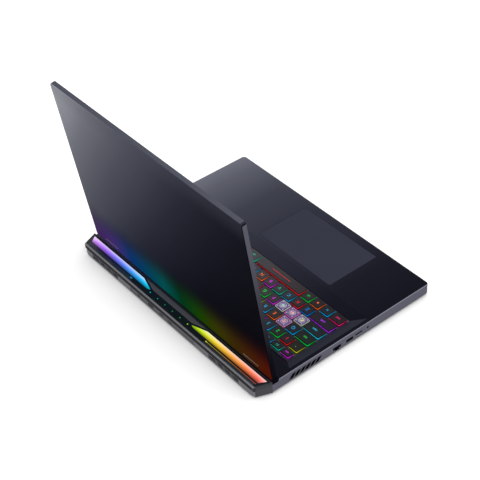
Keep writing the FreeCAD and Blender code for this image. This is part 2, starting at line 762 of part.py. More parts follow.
def build_rear_housing():
    lower = prism_z(module_outline(0, 0, 0, True), FOOT_HEIGHT, block_top)
    outer = fuse([lower, prism_z(module_outline(0, 0, 0), block_top, module_top)])
    top_rim = [e for e in level_edges(outer, module_top) if abs(e.CenterOfMass.y - module_y) > 1e-3]
    outer = outer.makeChamfer(EDGE_CHAMFER, top_rim)
    inset = RIM_WIDTH + LEDGE_WIDTH
    cuts = [prism_z(module_outline(RIM_WIDTH, RIM_WIDTH, RIM_WIDTH), ledge_z, module_top + OVER),
            prism_z(module_outline(inset, inset, inset), tray_z, module_top + OVER),
            prism_z(module_outline(-OVER, MODULE_SKIN, MODULE_SKIN, True), module_floor, shelf_z)]
    openings = [(exhaust_left_x - EXHAUST_WIDTH / 2, exhaust_left_x + EXHAUST_WIDTH / 2),
                (exhaust_right_x - EXHAUST_WIDTH / 2, exhaust_right_x + EXHAUST_WIDTH / 2),
                (panel_x0, panel_x1)]
    for x0, x1 in openings:
        cuts.append(box(x0, x1, rear_y - MODULE_SKIN - OVER, rear_y + OVER, module_floor, vent_top))
    band = half - MODULE_TAPER - BAND_END
    cuts.append(box(-band, band, rear_y - MODULE_SKIN / 2, rear_y + OVER, block_top, cover_top - BAND_TOP))
    parts["rear_housing"] = outer.cut(cuts + end_grooves())


def guide_outline(grow):
    y0 = module_y + GUIDE_FRONT
    y1 = y0 + GUIDE_WIDTH
    tip_y = y0 + GUIDE_WIDTH * GUIDE_TIP_SHARE
    end_x = half - GUIDE_END
    return [(end_x + grow, y0 - grow), (GUIDE_TIP_X + GUIDE_BEND - grow / 2, y0 - grow),
            (GUIDE_TIP_X - 1.5 * grow, tip_y), (GUIDE_TIP_X + GUIDE_TIP_BACK - grow, y1 + grow),
            (end_x - GUIDE_MITRE + grow, y1 + grow)]


def build_light_bar():
    reach = half - 2 * GUIDE_END
    board_z = tray_z + LIGHT_BOARD_SKIN
    front = module_y + GUIDE_FRONT
    parts["light_board"] = box(-reach, reach, front + GUIDE_FLAT, front + GUIDE_WIDTH - GUIDE_FLAT,
                               tray_z, board_z)
    right = prism_z(guide_outline(0), board_z, cover_top)
    rear = front + GUIDE_WIDTH + OVER
    wedge = prism_x([(front + GUIDE_FLAT, cover_top), (rear, cover_top - GUIDE_SLOPE),
                     (rear, cover_top + OVER), (front + GUIDE_FLAT, cover_top + OVER)], 0, half)
    right = right.cut(wedge)
    parts["light_guide_right"] = right
    parts["light_guide_left"] = mirror_x(right)
    inset = RIM_WIDTH + SEAM
    cover = prism_z(module_outline(inset, inset, inset), ledge_z, cover_top)
    cuts = [prism_z(guide_outline(SEAM), ledge_z - OVER, cover_top + OVER),
            prism_z(mirror_points(guide_outline(SEAM)), ledge_z - OVER, cover_top + OVER)]
    cuts += build_accents(front + GUIDE_WIDTH)
    parts["light_bar_cover"] = cover.cut(cuts)


def build_accents(guide_rear):
    strip_y = guide_rear + STRIP_GAP
    end_x = half - 2 * GUIDE_END
    wide = STRIP_WIDTH / 2
    foot = ledge_z - OVER
    strips = []
    cuts = []
    for x0, x1 in ((STRIP_START_X, end_x), (-end_x, -STRIP_START_X)):
        strips.append(box(x0, x1, strip_y - wide, strip_y + wide, foot, cover_top))
        cuts.append(box(x0 - SEAM, x1 + SEAM, strip_y - wide - SEAM, strip_y + wide + SEAM,
                        foot, cover_top + OVER))
    lenses = []
    for index in range(DOT_COUNT):
        x = (index - (DOT_COUNT - 1) / 2) * DOT_PITCH
        y = guide_rear + DOT_RADIUS
        lenses.append(cylinder(x, y, foot, cover_top, DOT_RADIUS))
        cuts.append(cylinder(x, y, foot, cover_top + OVER, DOT_RADIUS + SEAM))
    parts["accent_strips"] = Part.makeCompound(strips)
    parts["indicator_lenses"] = Part.makeCompound(lenses)
    return cuts


def build_grilles():
    grilles = []
    rim = GRILLE_RIM
    for centre in (exhaust_left_x, exhaust_right_x):
        w = EXHAUST_WIDTH / 2 - SEAM
        z1 = vent_top - SEAM
        frame = box(centre - w, centre + w, grille_y0, grille_y1, module_floor, z1)
        window = box(centre - w + rim, centre + w - rim, grille_y0 - OVER, grille_y1 + OVER,
                     module_floor + rim, z1 - rim)
        pieces = [frame.cut(window)]
        for index in range(GRILLE_RIBS):
            x = centre + (index - (GRILLE_RIBS - 1) / 2) * RIB_PITCH
            low = module_floor + rim / 2
            high = z1 - rim / 2
            foot_x = x - RIB_LEAN - RIB_WIDTH / 5
            head_x = x + RIB_LEAN + RIB_WIDTH / 5
            pieces.append(prism_y([(foot_x, low), (foot_x + RIB_WIDTH, low), (head_x, high),
                                   (head_x - RIB_WIDTH, high)], grille_y0, grille_y1))
        grilles.append(fuse(pieces))
    parts["exhaust_grilles"] = Part.makeCompound(grilles)


# Sockets

inlet_x = panel_x1 - INLET_INSET
video_x = inlet_x - VIDEO_PITCH
typec_xs = (video_x - TYPEC_START, video_x - TYPEC_START - TYPEC_PITCH)
port_z = (module_floor + vent_top) / 2
port_y0 = grille_y0 - PORT_DEPTH


def trapezoid(x, z, width, height):
    w = width / 2
    h = height / 2
    return [(x - w + h * 0.8, z - h), (x + w - h * 0.8, z - h), (x + w, z + h), (x - w, z + h)]


def build_rear_ports():
    back = grille_y0
    past = grille_y1 + OVER
    video_mouth = trapezoid(video_x, port_z, VIDEO_WIDTH, VIDEO_HEIGHT)
    cuts = [rod_y(inlet_x, back - OVER, past, port_z, INLET_RADIUS),
            prism_y(video_mouth, back - OVER, past)]
    reach = INLET_RADIUS + 2 * SOCKET_SHELL
    inlet = box(inlet_x - reach, inlet_x + reach, port_y0, back, module_floor, vent_top)
    inlet = inlet.cut(rod_y(inlet_x, port_y0 + OVER, back + OVER, port_z, INLET_RADIUS))
    parts["power_inlet"] = inlet.fuse(rod_y(inlet_x, port_y0, back - SOCKET_SHELL, port_z, INLET_RADIUS / 4))
    reach = VIDEO_WIDTH / 2 + SOCKET_SHELL
    video = box(video_x - reach, video_x + reach, port_y0, back, module_floor, vent_top)
    video = video.cut(prism_y(video_mouth, port_y0 + OVER, back + OVER))
    tongue = box(video_x - TONGUE_WIDTH / 2, video_x + TONGUE_WIDTH / 2, port_y0, back - OVER,
                 port_z - TONGUE_SKIN / 2, port_z + TONGUE_SKIN / 2)
    parts["video_socket"] = video.fuse(tongue)
    w = TYPEC_WIDTH / 2
    h = TYPEC_HEIGHT / 2
    small = []
    for x in typec_xs:
        mouth = box(x - w, x + w, port_y0 + SOCKET_END + OVER, past, port_z - h, port_z + h)
        cuts.append(mouth)
        shell = box(x - w - SOCKET_SHELL, x + w + SOCKET_SHELL, port_y0 + SOCKET_END, back,
                    module_floor, port_z + h + SOCKET_SHELL)
        tongue = box(x - w + TONGUE_SKIN, x + w - TONGUE_SKIN, port_y0 + SOCKET_END, back - OVER,
                     port_z - TYPEC_TONGUE / 2, port_z + TYPEC_TONGUE / 2)
        small.append(shell.cut(mouth).fuse(tongue))
    parts["small_sockets"] = Part.makeCompound(small)
    panel = box(panel_x0 + SEAM, panel_x1 - SEAM, back, grille_y1, module_floor, vent_top - SEAM)
    parts["port_panel"] = panel.cut(cuts)


side_x = -half + WALL


def side_block(y, depth, width, z0, z1):
    return box(side_x, side_x + depth, y - width / 2, y + width / 2, z0, z1)


def usb_socket(y):
    low = socket_z - USB_HEIGHT / 2
    high = low + USB_HEIGHT
    block = side_block(y, USB_DEPTH + SOCKET_END, USB_WIDTH + 2 * SOCKET_SHELL, low - SOCKET_SHELL,
                       high + SOCKET_SHELL)
    mouth = box(side_x - OVER, side_x + USB_DEPTH, y - USB_WIDTH / 2, y + USB_WIDTH / 2, low, high)
    reach = USB_WIDTH / 2 - USB_TONGUE_EDGE
    tongue_z = socket_z - USB_TONGUE_DROP
    tongue = box(side_x + OVER, side_x + USB_DEPTH + OVER, y - reach, y + reach,
                 tongue_z, tongue_z + USB_TONGUE)
    return block.cut(mouth).fuse(tongue)


def build_side_ports():
    sockets = [usb_socket(left_usb_y)] + [mirror_x(usb_socket(y)) for y in right_usb_ys]
    parts["usb_sockets"] = Part.makeCompound(sockets)
    low = socket_z - LAN_HEIGHT / 2
    high = low + LAN_HEIGHT
    lan = side_block(lan_y, LAN_DEPTH + SOCKET_END, LAN_WIDTH + 2 * SOCKET_SHELL,
                     low - LAN_LATCH - SOCKET_SHELL, high + SOCKET_SHELL)
    w = LAN_WIDTH / 2
    mouth = box(side_x - OVER, side_x + LAN_DEPTH, lan_y - w, lan_y + w, low, high)
    latch = box(side_x - OVER, side_x + LAN_DEPTH, lan_y - w / 2, lan_y + w / 2, low - LAN_LATCH, high)
    parts["network_socket"] = lan.cut(mouth.fuse(latch))
    h = CARD_HEIGHT / 2
    card = side_block(card_y, CARD_DEPTH + SOCKET_END, CARD_WIDTH + 2 * SOCKET_SHELL,
                      card_z - h - SOCKET_SHELL, card_z + h + SOCKET_SHELL)
    slot = box(side_x - OVER, side_x + CARD_DEPTH, card_y - CARD_WIDTH / 2, card_y + CARD_WIDTH / 2,
               card_z - h, card_z + h)
    parts["card_socket"] = card.cut(slot)
    reach = JACK_RADIUS + SOCKET_SHELL
    jack = side_block(jack_y, JACK_DEPTH + OVER, 2 * reach, jack_z - reach, jack_z + reach)
    parts["audio_socket"] = jack.cut(rod_x(side_x - OVER, side_x + JACK_DEPTH, jack_y, jack_z, JACK_RADIUS))


# Boards, battery and speakers


def build_boards():
    parts["mainboard"] = box(-board_x, board_x, board_y0, board_y1, board_under, board_top)
    chips = []
    for x, size in ((processor_x, PROCESSOR_SIZE), (graphics_x, GRAPHICS_SIZE)):
        y = (plate_y0 + plate_y1) / 2
        chips.append(square_post(x, y, size, chip_under, board_under))
    parts["processors"] = Part.makeCompound(chips)
    memory = []
    storage = []
    stick_x = -MEMORY_END - MEMORY_LENGTH
    stick_top = chip_under - CARD_LIFT
    stick_under = stick_top - CARD_SKIN
    card_top = chip_under + CARD_LIFT
    card_under = card_top - STORAGE_SKIN
    for index in range(2):
        y = memory_y0 + index * MEMORY_PITCH
        stick = box(stick_x, -MEMORY_END, y, y + MEMORY_DEPTH, stick_under, stick_top)
        holder_y = y + MEMORY_DEPTH + HOLDER_LAP
        holder = box(stick_x - HOLDER_DEPTH / 2, -MEMORY_END, holder_y - HOLDER_DEPTH, holder_y,
                     stick_under - HOLDER_SKIN, board_under)
        memory.append(fuse([stick, holder]))
        card_y0 = y + (MEMORY_DEPTH - STORAGE_DEPTH) / 2
        card = box(STORAGE_START, STORAGE_START + STORAGE_LENGTH, card_y0, card_y0 + STORAGE_DEPTH,
                   card_under, card_top)
        clamp = box(STORAGE_START - HOLDER_LAP, STORAGE_START + CLAMP_LENGTH, card_y0 - HOLDER_LAP,
                    card_y0 + STORAGE_DEPTH + HOLDER_LAP, card_under - HOLDER_SKIN, board_under)
        storage.append(fuse([card, clamp]))
    parts["memory_modules"] = Part.makeCompound(memory)
    parts["storage_modules"] = Part.makeCompound(storage)
    wireless_x = board_x - WIRELESS_EDGE
    parts["wireless_card"] = box(wireless_x - WIRELESS_WIDTH, wireless_x, plate_y0, plate_y0 + WIRELESS_DEPTH,
                                 chip_under - WIRELESS_SKIN, board_under)
    reach = speaker_x - SPEAKER_WIDTH / 2 - BATTERY_SIDE
    parts["battery_pack"] = rounded_box(-reach, reach, front_y + BATTERY_FRONT, board_y0 - BATTERY_GAP,
                                        floor_z, board_top - INNER_GAP, BATTERY_RADIUS)
    speakers = []
    w = SPEAKER_WIDTH / 2
    d = SPEAKER_LENGTH / 2
    for x in (-speaker_x, speaker_x):
        body = rounded_box(x - w, x + w, speaker_y - d, speaker_y + d, floor_z, board_top,
                           SPEAKER_RADIUS)
        port = box(x - w + SPEAKER_RIM, x + w - SPEAKER_RIM, speaker_y - d + 2 * SPEAKER_RIM,
                   speaker_y + d - 2 * SPEAKER_RIM, floor_z - OVER, floor_z + OVER)
        speakers.append(body.cut(port))
    parts["speakers"] = Part.makeCompound(speakers)


# Cooling

fin_y0 = module_y + RIM_WIDTH
fin_y1 = grille_y0 - INNER_GAP


def build_fins():
    stacks = []
    for centre in (exhaust_left_x, exhaust_right_x):
        w = EXHAUST_WIDTH / 2 - RIM_WIDTH
        blades = [box(centre - w, centre + w, fin_y0, fin_y1, module_floor, module_floor + FIN_SKIN),
                  box(centre - w, centre + w, fin_y0, fin_y1, fin_top - FIN_SKIN, fin_top)]
        step = (2 * w - FIN_SKIN) / (FIN_COUNT - 1)
        for index in range(FIN_COUNT):
            x = centre - w + index * step
            blades.append(box(x, x + FIN_SKIN, fin_y0, fin_y1, module_floor, fin_top))
        stacks.append(fuse(blades))
    parts["heat_fins"] = Part.makeCompound(stacks)


def build_heat_pipes():
    low = chip_under - PIPE_SKIN
    y1 = fin_y0 + PIPE_WIDTH
    reach = EXHAUST_WIDTH / 2 - RIM_WIDTH
    left = processor_x - COLD_PLATE_LEFT
    right = graphics_x + COLD_PLATE_RIGHT
    pieces = [box(left, right, plate_y0, plate_y1, low, chip_under),
              box(exhaust_left_x - reach, exhaust_right_x + reach, fin_y0, y1, fin_top, fin_top + PIPE_SKIN)]
    for x in (processor_x, graphics_x):
        pieces.append(box(x - PIPE_WIDTH, x + PIPE_WIDTH, plate_y1 - PIPE_LAP, y1, low, chip_under))
        pieces.append(box(x - PIPE_WIDTH, x + PIPE_WIDTH, fin_y0, y1, low, fin_top + PIPE_SKIN))
    parts["heat_pipes"] = fuse(pieces)


def build_fans():
    tip = FAN_SIZE / 2 - FAN_TIP_GAP
    inner_z0 = floor_z + FAN_SKIN
    inner_z1 = board_top - FAN_SKIN
    wheel_z0 = inner_z0 + FAN_SKIN
    wheel_z1 = inner_z1 - FAN_SKIN
    root = FAN_HUB_RADIUS - BLADE_ROOT
    housings = []
    for name, x in (("fan_rotor_left", -fan_x), ("fan_rotor_right", fan_x)):
        reach = FAN_SIZE / 2
        shell = box(x - reach, x + reach, fan_y0, fan_y1, floor_z, board_top)
        scroll = cylinder(x, fan_y, inner_z0, inner_z1, reach - FAN_TIP_GAP / 2)
        outlet = box(x - reach + FAN_TIP_GAP, x + reach - FAN_TIP_GAP, fan_y, fan_y1 + OVER,
                     inner_z0, inner_z1)
        intake = cylinder(x, fan_y, floor_z - OVER, inner_z0 + OVER, tip - FAN_MOUTH)
        shaft = cylinder(x, fan_y, wheel_z0 + 2 * FAN_SKIN, inner_z1, FAN_SHAFT_RADIUS)
        housings.append(fuse([shell.cut([scroll, outlet, intake]), shaft]))
        wheel = [cylinder(x, fan_y, wheel_z0, wheel_z1, FAN_HUB_RADIUS)]
        for index in range(FAN_BLADES):
            blade = box(x + root, x + tip, fan_y - BLADE_SKIN / 2, fan_y + BLADE_SKIN / 2, wheel_z0, wheel_z1)
            blade.rotate(V(x + root, fan_y, 0), V(0, 0, 1), BLADE_TURN)
            blade.rotate(V(x, fan_y, 0), V(0, 0, 1), index * 360.0 / FAN_BLADES)
            wheel.append(blade)
        bore = cylinder(x, fan_y, wheel_z0 + FAN_SKIN, wheel_z1 + OVER, FAN_SHAFT_RADIUS + RUNNING_FIT)
        parts[name] = fuse(wheel).cut(bore)
    parts["fan_housings"] = Part.makeCompound(housings)


# Lid, built closed over the base and then swung open

lid_skin_z = lid_outer - LID_SKIN
barrel_radius = lid_skin_z - axis_z - SLIDING_FIT
screen_half = lid_half - LID_WALL - SIDE_BEZEL
screen_y0 = lid_front + LID_WALL + TOP_BEZEL
screen_y1 = lid_rear - LID_WALL - CHIN
bezel_top = lid_inner + BEZEL_SKIN
webcam_y = lid_front + LID_WALL + TOP_BEZEL / 2
stop_y = lid_rear - STOP_RISE
stop_x = half - STOP_INSET
stop_sink = LID_SKIN * 0.4
leg_front = axis_y - 2 * HINGE_RISE


def hinge_notches():
    reach = BARREL_LENGTH / 2
    right = box(hinge_x - reach - 2 * SLIDING_FIT, hinge_x + reach + KNUCKLE_LENGTH + 2 * SLIDING_FIT,
                leg_front - OVER, lid_rear + OVER, lid_inner - OVER, lid_skin_z)
    return [right, mirror_x(right)]


def build_lid_cover():
    outer = rounded_box(-lid_half, lid_half, lid_front, lid_rear, lid_inner, lid_outer, LID_RADIUS)
    outer = outer.makeChamfer(LID_CHAMFER, level_edges(outer, lid_outer))
    w = lid_half - LID_WALL
    inner = rounded_box(-w, w, lid_front + LID_WALL, lid_rear - LID_WALL, lid_inner - OVER, lid_skin_z,
                        LID_RADIUS - LID_WALL)
    seats = []
    stops = []
    for x in (-stop_x, stop_x):
        seats.append(stop_bar(x, SEAM, lid_outer + OVER))
        stops.append(stop_bar(x, 0, lid_outer + stop_sink))
    parts["lid_back_cover"] = open_lid(outer.cut([inner] + hinge_notches() + seats))
    parts["lid_stops"] = open_lid(Part.makeCompound(stops))


def stop_bar(x, grow, z1):
    w = STOP_LENGTH / 2 + grow
    d = STOP_WIDTH / 2 + grow
    return rounded_box(x - w, x + w, stop_y - d, stop_y + d, lid_outer - stop_sink, z1, d * 0.9)


def build_screen():
    w = lid_half - LID_WALL - SEAM
    frame = rounded_box(-w, w, lid_front + LID_WALL + SEAM, lid_rear - LID_WALL - SEAM, lid_inner, bezel_top,
                        LID_RADIUS - LID_WALL - SEAM)
    window = box(-screen_half, screen_half, screen_y0, screen_y1, lid_inner - OVER, bezel_top + OVER)
    lens_hole = cylinder(0, webcam_y, lid_inner - OVER, bezel_top + OVER, LENS_RADIUS + SEAM)
    parts["screen_bezel"] = open_lid(frame.cut([window, lens_hole] + hinge_notches()))
    m = PANEL_MARGIN
    panel = box(-screen_half - m, screen_half + m, screen_y0 - m, screen_y1 + m,
                bezel_top, bezel_top + PANEL_SKIN)
    face = box(-screen_half + SEAM, screen_half - SEAM, screen_y0 + SEAM, screen_y1 - SEAM,
               lid_inner + BEZEL_SKIN / 3, bezel_top)
    parts["display_panel"] = open_lid(fuse([panel, face]))
    depth = TOP_BEZEL / 2 - PANEL_MARGIN - SEAM
    board = box(-WEBCAM_LENGTH / 2, WEBCAM_LENGTH / 2, webcam_y - depth, webcam_y + depth,
                bezel_top, bezel_top + BEZEL_SKIN)
    lens = cylinder(0, webcam_y, lid_inner + BEZEL_SKIN / 6, bezel_top, LENS_RADIUS)
    parts["webcam_module"] = open_lid(fuse([board, lens]))
    bumpers = []
    for x in (BUMPER_INSET - lid_half, 0.0, lid_half - BUMPER_INSET):
        y = lid_front + LID_WALL + 2 * SEAM
        bumpers.append(rounded_box(x - BUMPER_LENGTH / 2, x + BUMPER_LENGTH / 2, y, y + BUMPER_WIDTH,
                                   lid_inner - LID_GAP / 2, lid_inner, BUMPER_RADIUS))
    parts["lid_bumpers"] = open_lid(Part.makeCompound(bumpers))


def build_hinges():
    x0 = hinge_x - BARREL_LENGTH / 2
    x1 = hinge_x + BARREL_LENGTH / 2
    x2 = x1 + KNUCKLE_LENGTH
    foot_y = pocket_rear_outer + DECK_SKIN + HINGE_FOOT
    foot_z = deck_under - HINGE_PLATE
    barrel = rod_x(x0, x1, axis_y, axis_z, barrel_radius)
    leg = prism_x([(axis_y - LEG_SETBACK, axis_z - barrel_radius / 2), (axis_y - barrel_radius, axis_z),
                   (leg_front, deck_under), (foot_y, deck_under), (foot_y, foot_z),
                   (axis_y - HINGE_RISE, foot_z)], x0, x1)
    bore = rod_x(x0 - OVER, x1 + OVER, axis_y, axis_z, PIN_RADIUS + RUNNING_FIT)
    bracket = fuse([barrel, leg]).cut(bore)
    knuckle_x = x1 + SLIDING_FIT
    arm = fuse([rod_x(x0, x2, axis_y, axis_z, PIN_RADIUS),
                rod_x(knuckle_x, x2, axis_y, axis_z, barrel_radius),
                box(knuckle_x, x2, axis_y - ARM_LENGTH, axis_y + PIN_RADIUS,
                    lid_skin_z - ARM_SKIN, lid_skin_z),
                box(knuckle_x, x2, axis_y - PIN_RADIUS, axis_y + PIN_RADIUS, axis_z, lid_skin_z)])
    parts["hinge_bracket_right"] = bracket
    parts["hinge_bracket_left"] = mirror_x(bracket)
    parts["hinge_arm_right"] = open_lid(arm)
    parts["hinge_arm_left"] = open_lid(mirror_x(arm))


build_keyboard()
build_touchpad()
build_touchpad_bracket()
build_top_case()
build_bottom_cover()
build_feet_and_screws()
build_rear_housing()
build_light_bar()
build_grilles()
build_rear_ports()
build_side_ports()
build_boards()
build_fins()
build_heat_pipes()
build_fans()
build_lid_cover()
build_screen()
build_hinges()

os.makedirs("parts", exist_ok=True)
for node, shape in parts.items():
    shape.exportStep("parts/" + node + ".step")
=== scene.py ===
import json
import math

import bmesh
import bpy
from mathutils import Matrix, Vector


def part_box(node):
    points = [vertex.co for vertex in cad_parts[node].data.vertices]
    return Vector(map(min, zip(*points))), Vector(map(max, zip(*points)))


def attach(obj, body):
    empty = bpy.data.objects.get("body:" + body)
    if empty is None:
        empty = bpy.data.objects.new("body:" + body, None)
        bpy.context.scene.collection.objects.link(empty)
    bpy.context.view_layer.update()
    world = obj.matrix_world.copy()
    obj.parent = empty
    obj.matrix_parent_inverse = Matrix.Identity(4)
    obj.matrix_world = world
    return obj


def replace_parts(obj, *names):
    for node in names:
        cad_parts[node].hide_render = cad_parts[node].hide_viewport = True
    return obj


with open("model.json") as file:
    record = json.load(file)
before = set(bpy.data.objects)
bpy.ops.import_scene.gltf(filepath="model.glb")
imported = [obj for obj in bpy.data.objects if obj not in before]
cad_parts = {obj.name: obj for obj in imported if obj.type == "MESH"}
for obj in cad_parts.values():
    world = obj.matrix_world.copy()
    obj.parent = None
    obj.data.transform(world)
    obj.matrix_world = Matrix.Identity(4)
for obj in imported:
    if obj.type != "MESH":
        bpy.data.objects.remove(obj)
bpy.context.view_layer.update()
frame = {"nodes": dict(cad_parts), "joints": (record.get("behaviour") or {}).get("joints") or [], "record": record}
nodes = frame["nodes"]

# Lengths are metres; a length given in millimetres is multiplied by MM
MM = 0.001

# Camera of the photograph, for an image of 480 x 480 pixels
CAMERA_PLACE = Vector((-1.0785, 0.8536, 1.2234))
CAMERA_YAW = 2.23032
CAMERA_PITCH = 0.70147
CAMERA_ROLL = -0.046856
FOCAL_PIXELS = 1276.06
IMAGE_PIXELS = 480
SENSOR_WIDTH = 36.0

# Ambient light, the floor's own part of its white, its colour, and the reach of its soft shadow in metres
AMBIENT = 0.55
FLOOR_WHITE = 0.62
FLOOR_ALBEDO = 0.75
SHADOW_REACH = 0.05

SOCKETS = {
    "color": "Base Color", "roughness": "Roughness", "metallic": "Metallic", "normal": "Normal",
    "specular": "Specular IOR Level", "coat": "Coat Weight", "coat_roughness": "Coat Roughness",
    "glow": "Emission Color", "glow_strength": "Emission Strength", "alpha": "Alpha",
}


def srgb(red, green, blue):
    """A linear colour from the usual 0 to 255 values."""
    levels = [v / 255.0 for v in (red, green, blue)]
    return tuple(v / 12.92 if v <= 0.04045 else ((v + 0.055) / 1.055) ** 2.4 for v in levels) + (1.0,)


class Shader:
    """A node material: each method adds one step and returns the value that the step gives."""

    def __init__(self, name):
        self.material = bpy.data.materials.new(name)
        self.material.use_nodes = True
        self.tree = self.material.node_tree
        self.bsdf = self.tree.nodes["Principled BSDF"]
        self.place = self.node("ShaderNodeTexCoord").outputs["Object"]

    def give(self, socket, value):
        if isinstance(value, bpy.types.NodeSocket):
            self.tree.links.new(value, socket)
        else:
            socket.default_value = value

    def node(self, kind, inputs=None, **settings):
        made = self.tree.nodes.new(kind)
        for name, value in settings.items():
            setattr(made, name, value)
        for name, value in (inputs or {}).items():
            self.give(made.inputs[name], value)
        return made

    def set(self, **values):
        for name, value in values.items():
            self.give(self.bsdf.inputs[SOCKETS[name]], value)
        return self

    def noise(self, scale, detail=2.0, stretch=(1.0, 1.0, 1.0)):
        mapped = self.node("ShaderNodeMapping", {"Vector": self.place, "Scale": stretch})
        inputs = {"Vector": mapped.outputs[0], "Scale": scale, "Detail": detail}
        return self.node("ShaderNodeTexNoise", inputs).outputs["Fac"]

    def cells(self, scale):
        made = self.node("ShaderNodeTexVoronoi", {"Vector": self.place, "Scale": scale})
        return made.outputs["Distance"]

    def math(self, operation, a, b=0.0):
        return self.node("ShaderNodeMath", {0: a, 1: b}, operation=operation).outputs[0]

    def along(self, axis):
        """The X, Y or Z coordinate at rest, in millimetres."""
        split = self.node("ShaderNodeSeparateXYZ", {0: self.place})
        return self.math("MULTIPLY", split.outputs[axis], 1.0 / MM)

    def rise(self, value, low, high):
        """0 at low and 1 at high, with a smooth step between them."""
        made = self.node("ShaderNodeMapRange", {"Value": value, "From Min": low, "From Max": high},
                         interpolation_type="SMOOTHSTEP")
        return made.outputs["Result"]

    def window(self, value, low, high, soft):
        """1 between low and high, 0 outside, with soft ends."""
        return self.math("MULTIPLY", self.rise(value, low - soft / 2, low + soft / 2),
                         self.rise(value, high + soft / 2, high - soft / 2))

    def span(self, value, low, high):
        """0 to 1 turned into low to high."""
        made = self.node("ShaderNodeMapRange", {"Value": value, "To Min": low, "To Max": high})
        return made.outputs["Result"]

    def mix(self, share, a, b):
        made = self.node("ShaderNodeMix", {0: share, 6: a, 7: b}, data_type="RGBA")
        return made.outputs[2]

    def scale(self, color, strength):
        made = self.node("ShaderNodeVectorMath", {0: color, 3: strength}, operation="SCALE")
        return made.outputs[0]

    def ramp(self, value, low, high, stops):
        """A colour along a value, from stops of (value, colour)."""
        share = self.node("ShaderNodeMapRange", {"Value": value, "From Min": low, "From Max": high})
        made = self.node("ShaderNodeValToRGB", {"Fac": share.outputs["Result"]})
        elements = made.color_ramp.elements
        while len(elements) < len(stops):
            elements.new(0.5)
        for element, (at, color) in zip(elements, sorted(stops)):
            element.position = (at - low) / (high - low)
            element.color = srgb(*color)
        return made.outputs["Color"]

    def bump(self, height, strength, depth=0.05 * MM):
        made = self.node("ShaderNodeBump", {"Height": height, "Strength": strength, "Distance": depth})
        return made.outputs["Normal"]

    def facing(self, axis):
        """How far a face looks along X, Y or Z, from -1 to 1."""
        normal = self.node("ShaderNodeNewGeometry").outputs["True Normal"]
        return self.node("ShaderNodeSeparateXYZ", {0: normal}).outputs[axis]

    def painted(self, name):
        """A colour that is stored on the mesh."""
        return self.node("ShaderNodeAttribute", attribute_name=name).outputs["Color"]


def finish(name, dark, light, roughness, patch=14.0, grain=2600.0, relief=0.25, spread=0.07, **values):
    """A moulded, painted or plated surface with uneven colour, uneven gloss and a fine grain."""
    shader = Shader(name)
    patches = shader.noise(patch, 3.0)
    fine = shader.noise(grain, 2.0)
    shader.set(color=shader.mix(patches, srgb(*dark), srgb(*light)),
               roughness=shader.span(patches, roughness - spread, roughness + spread),
               normal=shader.bump(fine, relief), **values)
    return shader


# Colours along the light bars, by X in millimetres
BAR_STOPS = (
    (-196, (255, 150, 140)), (-184, (255, 112, 92)), (-160, (255, 132, 76)), (-130, (255, 172, 64)),
    (-100, (252, 212, 52)), (-72, (222, 240, 40)), (-47, (186, 250, 36)), (-26, (60, 190, 60)),
    (0, (10, 150, 110)), (26, (16, 170, 160)), (47, (0, 226, 255)), (76, (36, 186, 255)),
    (106, (84, 150, 255)), (132, (118, 118, 255)), (160, (166, 108, 255)), (184, (206, 140, 255)),
    (196, (232, 190, 255)),
)
# Their glow, painted as emission on the lower edge of the lid
LID_GLOW_STOPS = (
    (-200, (80, 14, 2)), (-170, (68, 25, 2)), (-130, (54, 35, 2)), (-90, (50, 50, 0)), (-50, (20, 62, 0)),
    (-10, (0, 52, 22)), (30, (0, 76, 76)), (70, (0, 60, 90)), (110, (8, 48, 106)), (150, (60, 40, 108)),
    (200, (60, 34, 84)),
)
# Painted sheen, a painted reflection on the brushed metal: deck by X, lid by X and height together
DECK_STOPS = (
    (-200, (15, 15, 27)), (-130, (24, 24, 37)), (-60, (42, 43, 56)), (20, (53, 55, 69)), (100, (70, 72, 85)),
    (170, (104, 106, 119)), (200, (124, 126, 138)),
)
# Painted sheen on the key caps, by X
CAP_STOPS = (
    (-190, (12, 12, 16)), (-130, (27, 27, 32)), (-70, (56, 54, 58)), (0, (75, 73, 77)),
    (190, (106, 105, 110)),
)
LID_STOPS = (
    (-95, (2, 2, 12)), (-50, (9, 9, 22)), (-10, (17, 17, 31)), (30, (27, 27, 41)), (70, (38, 38, 53)),
    (110, (50, 51, 66)), (150, (66, 68, 84)), (190, (84, 86, 101)), (230, (99, 101, 115)),
    (270, (118, 120, 133)), (320, (144, 146, 158)), (400, (200, 202, 212)),
)
SPREAD_X = 200.0


def box_mm(node):
    """The corners of a CAD node's box, in millimetres."""
    low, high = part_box(node)
    return low / MM, high / MM


# Places that the materials go by, in millimetres
case_low, case_high = box_mm("top_case")
SIDE_X = case_high.x
FRONT_Y = case_low.y
DECK_Z = case_high.z
LID_X = box_mm("lid_back_cover")[1].x
MODULE_REAR = box_mm("rear_housing")[1].y
BAND_FOOT = 12.9
BAND_HEAD = 19.1
STRIP_INNER = min(abs(v.co.x) for v in nodes["accent_strips"].data.vertices) / MM
card_low, card_high = box_mm("card_socket")
# The light bars, and the line of their mitred ends by X and Y together
bar_low, bar_high = box_mm("light_guide_right")
MITRE_SLOPE = 0.6
MITRE_END = bar_high.x + MITRE_SLOPE * bar_low.y
# The lid's axis, its lean behind upright, and its height along the lean
lid_joint = next(joint for joint in frame["joints"] if joint["name"] == "lid_hinge")
HINGE = Vector(lid_joint["pos_m"]) / MM
LID_LEAN = math.radians(-lid_joint["range_deg"][0] - 90.0)
LID_UP = Vector((0.0, math.sin(LID_LEAN), math.cos(LID_LEAN)))
LID_HEIGHT = max((v.co / MM - HINGE).dot(LID_UP) for v in nodes["lid_back_cover"].data.vertices)
# The lid's painted sheen counts this share of the height; the heights where the bars' painted glow and the painted
# shade at the lid's foot end
SHEEN_RISE = 0.75
GLOW_FOOT = 8.0
GLOW_HEAD = 90.0
GLOW_FALL = 2.6
FOOT_SHADE_HEAD = 72.0
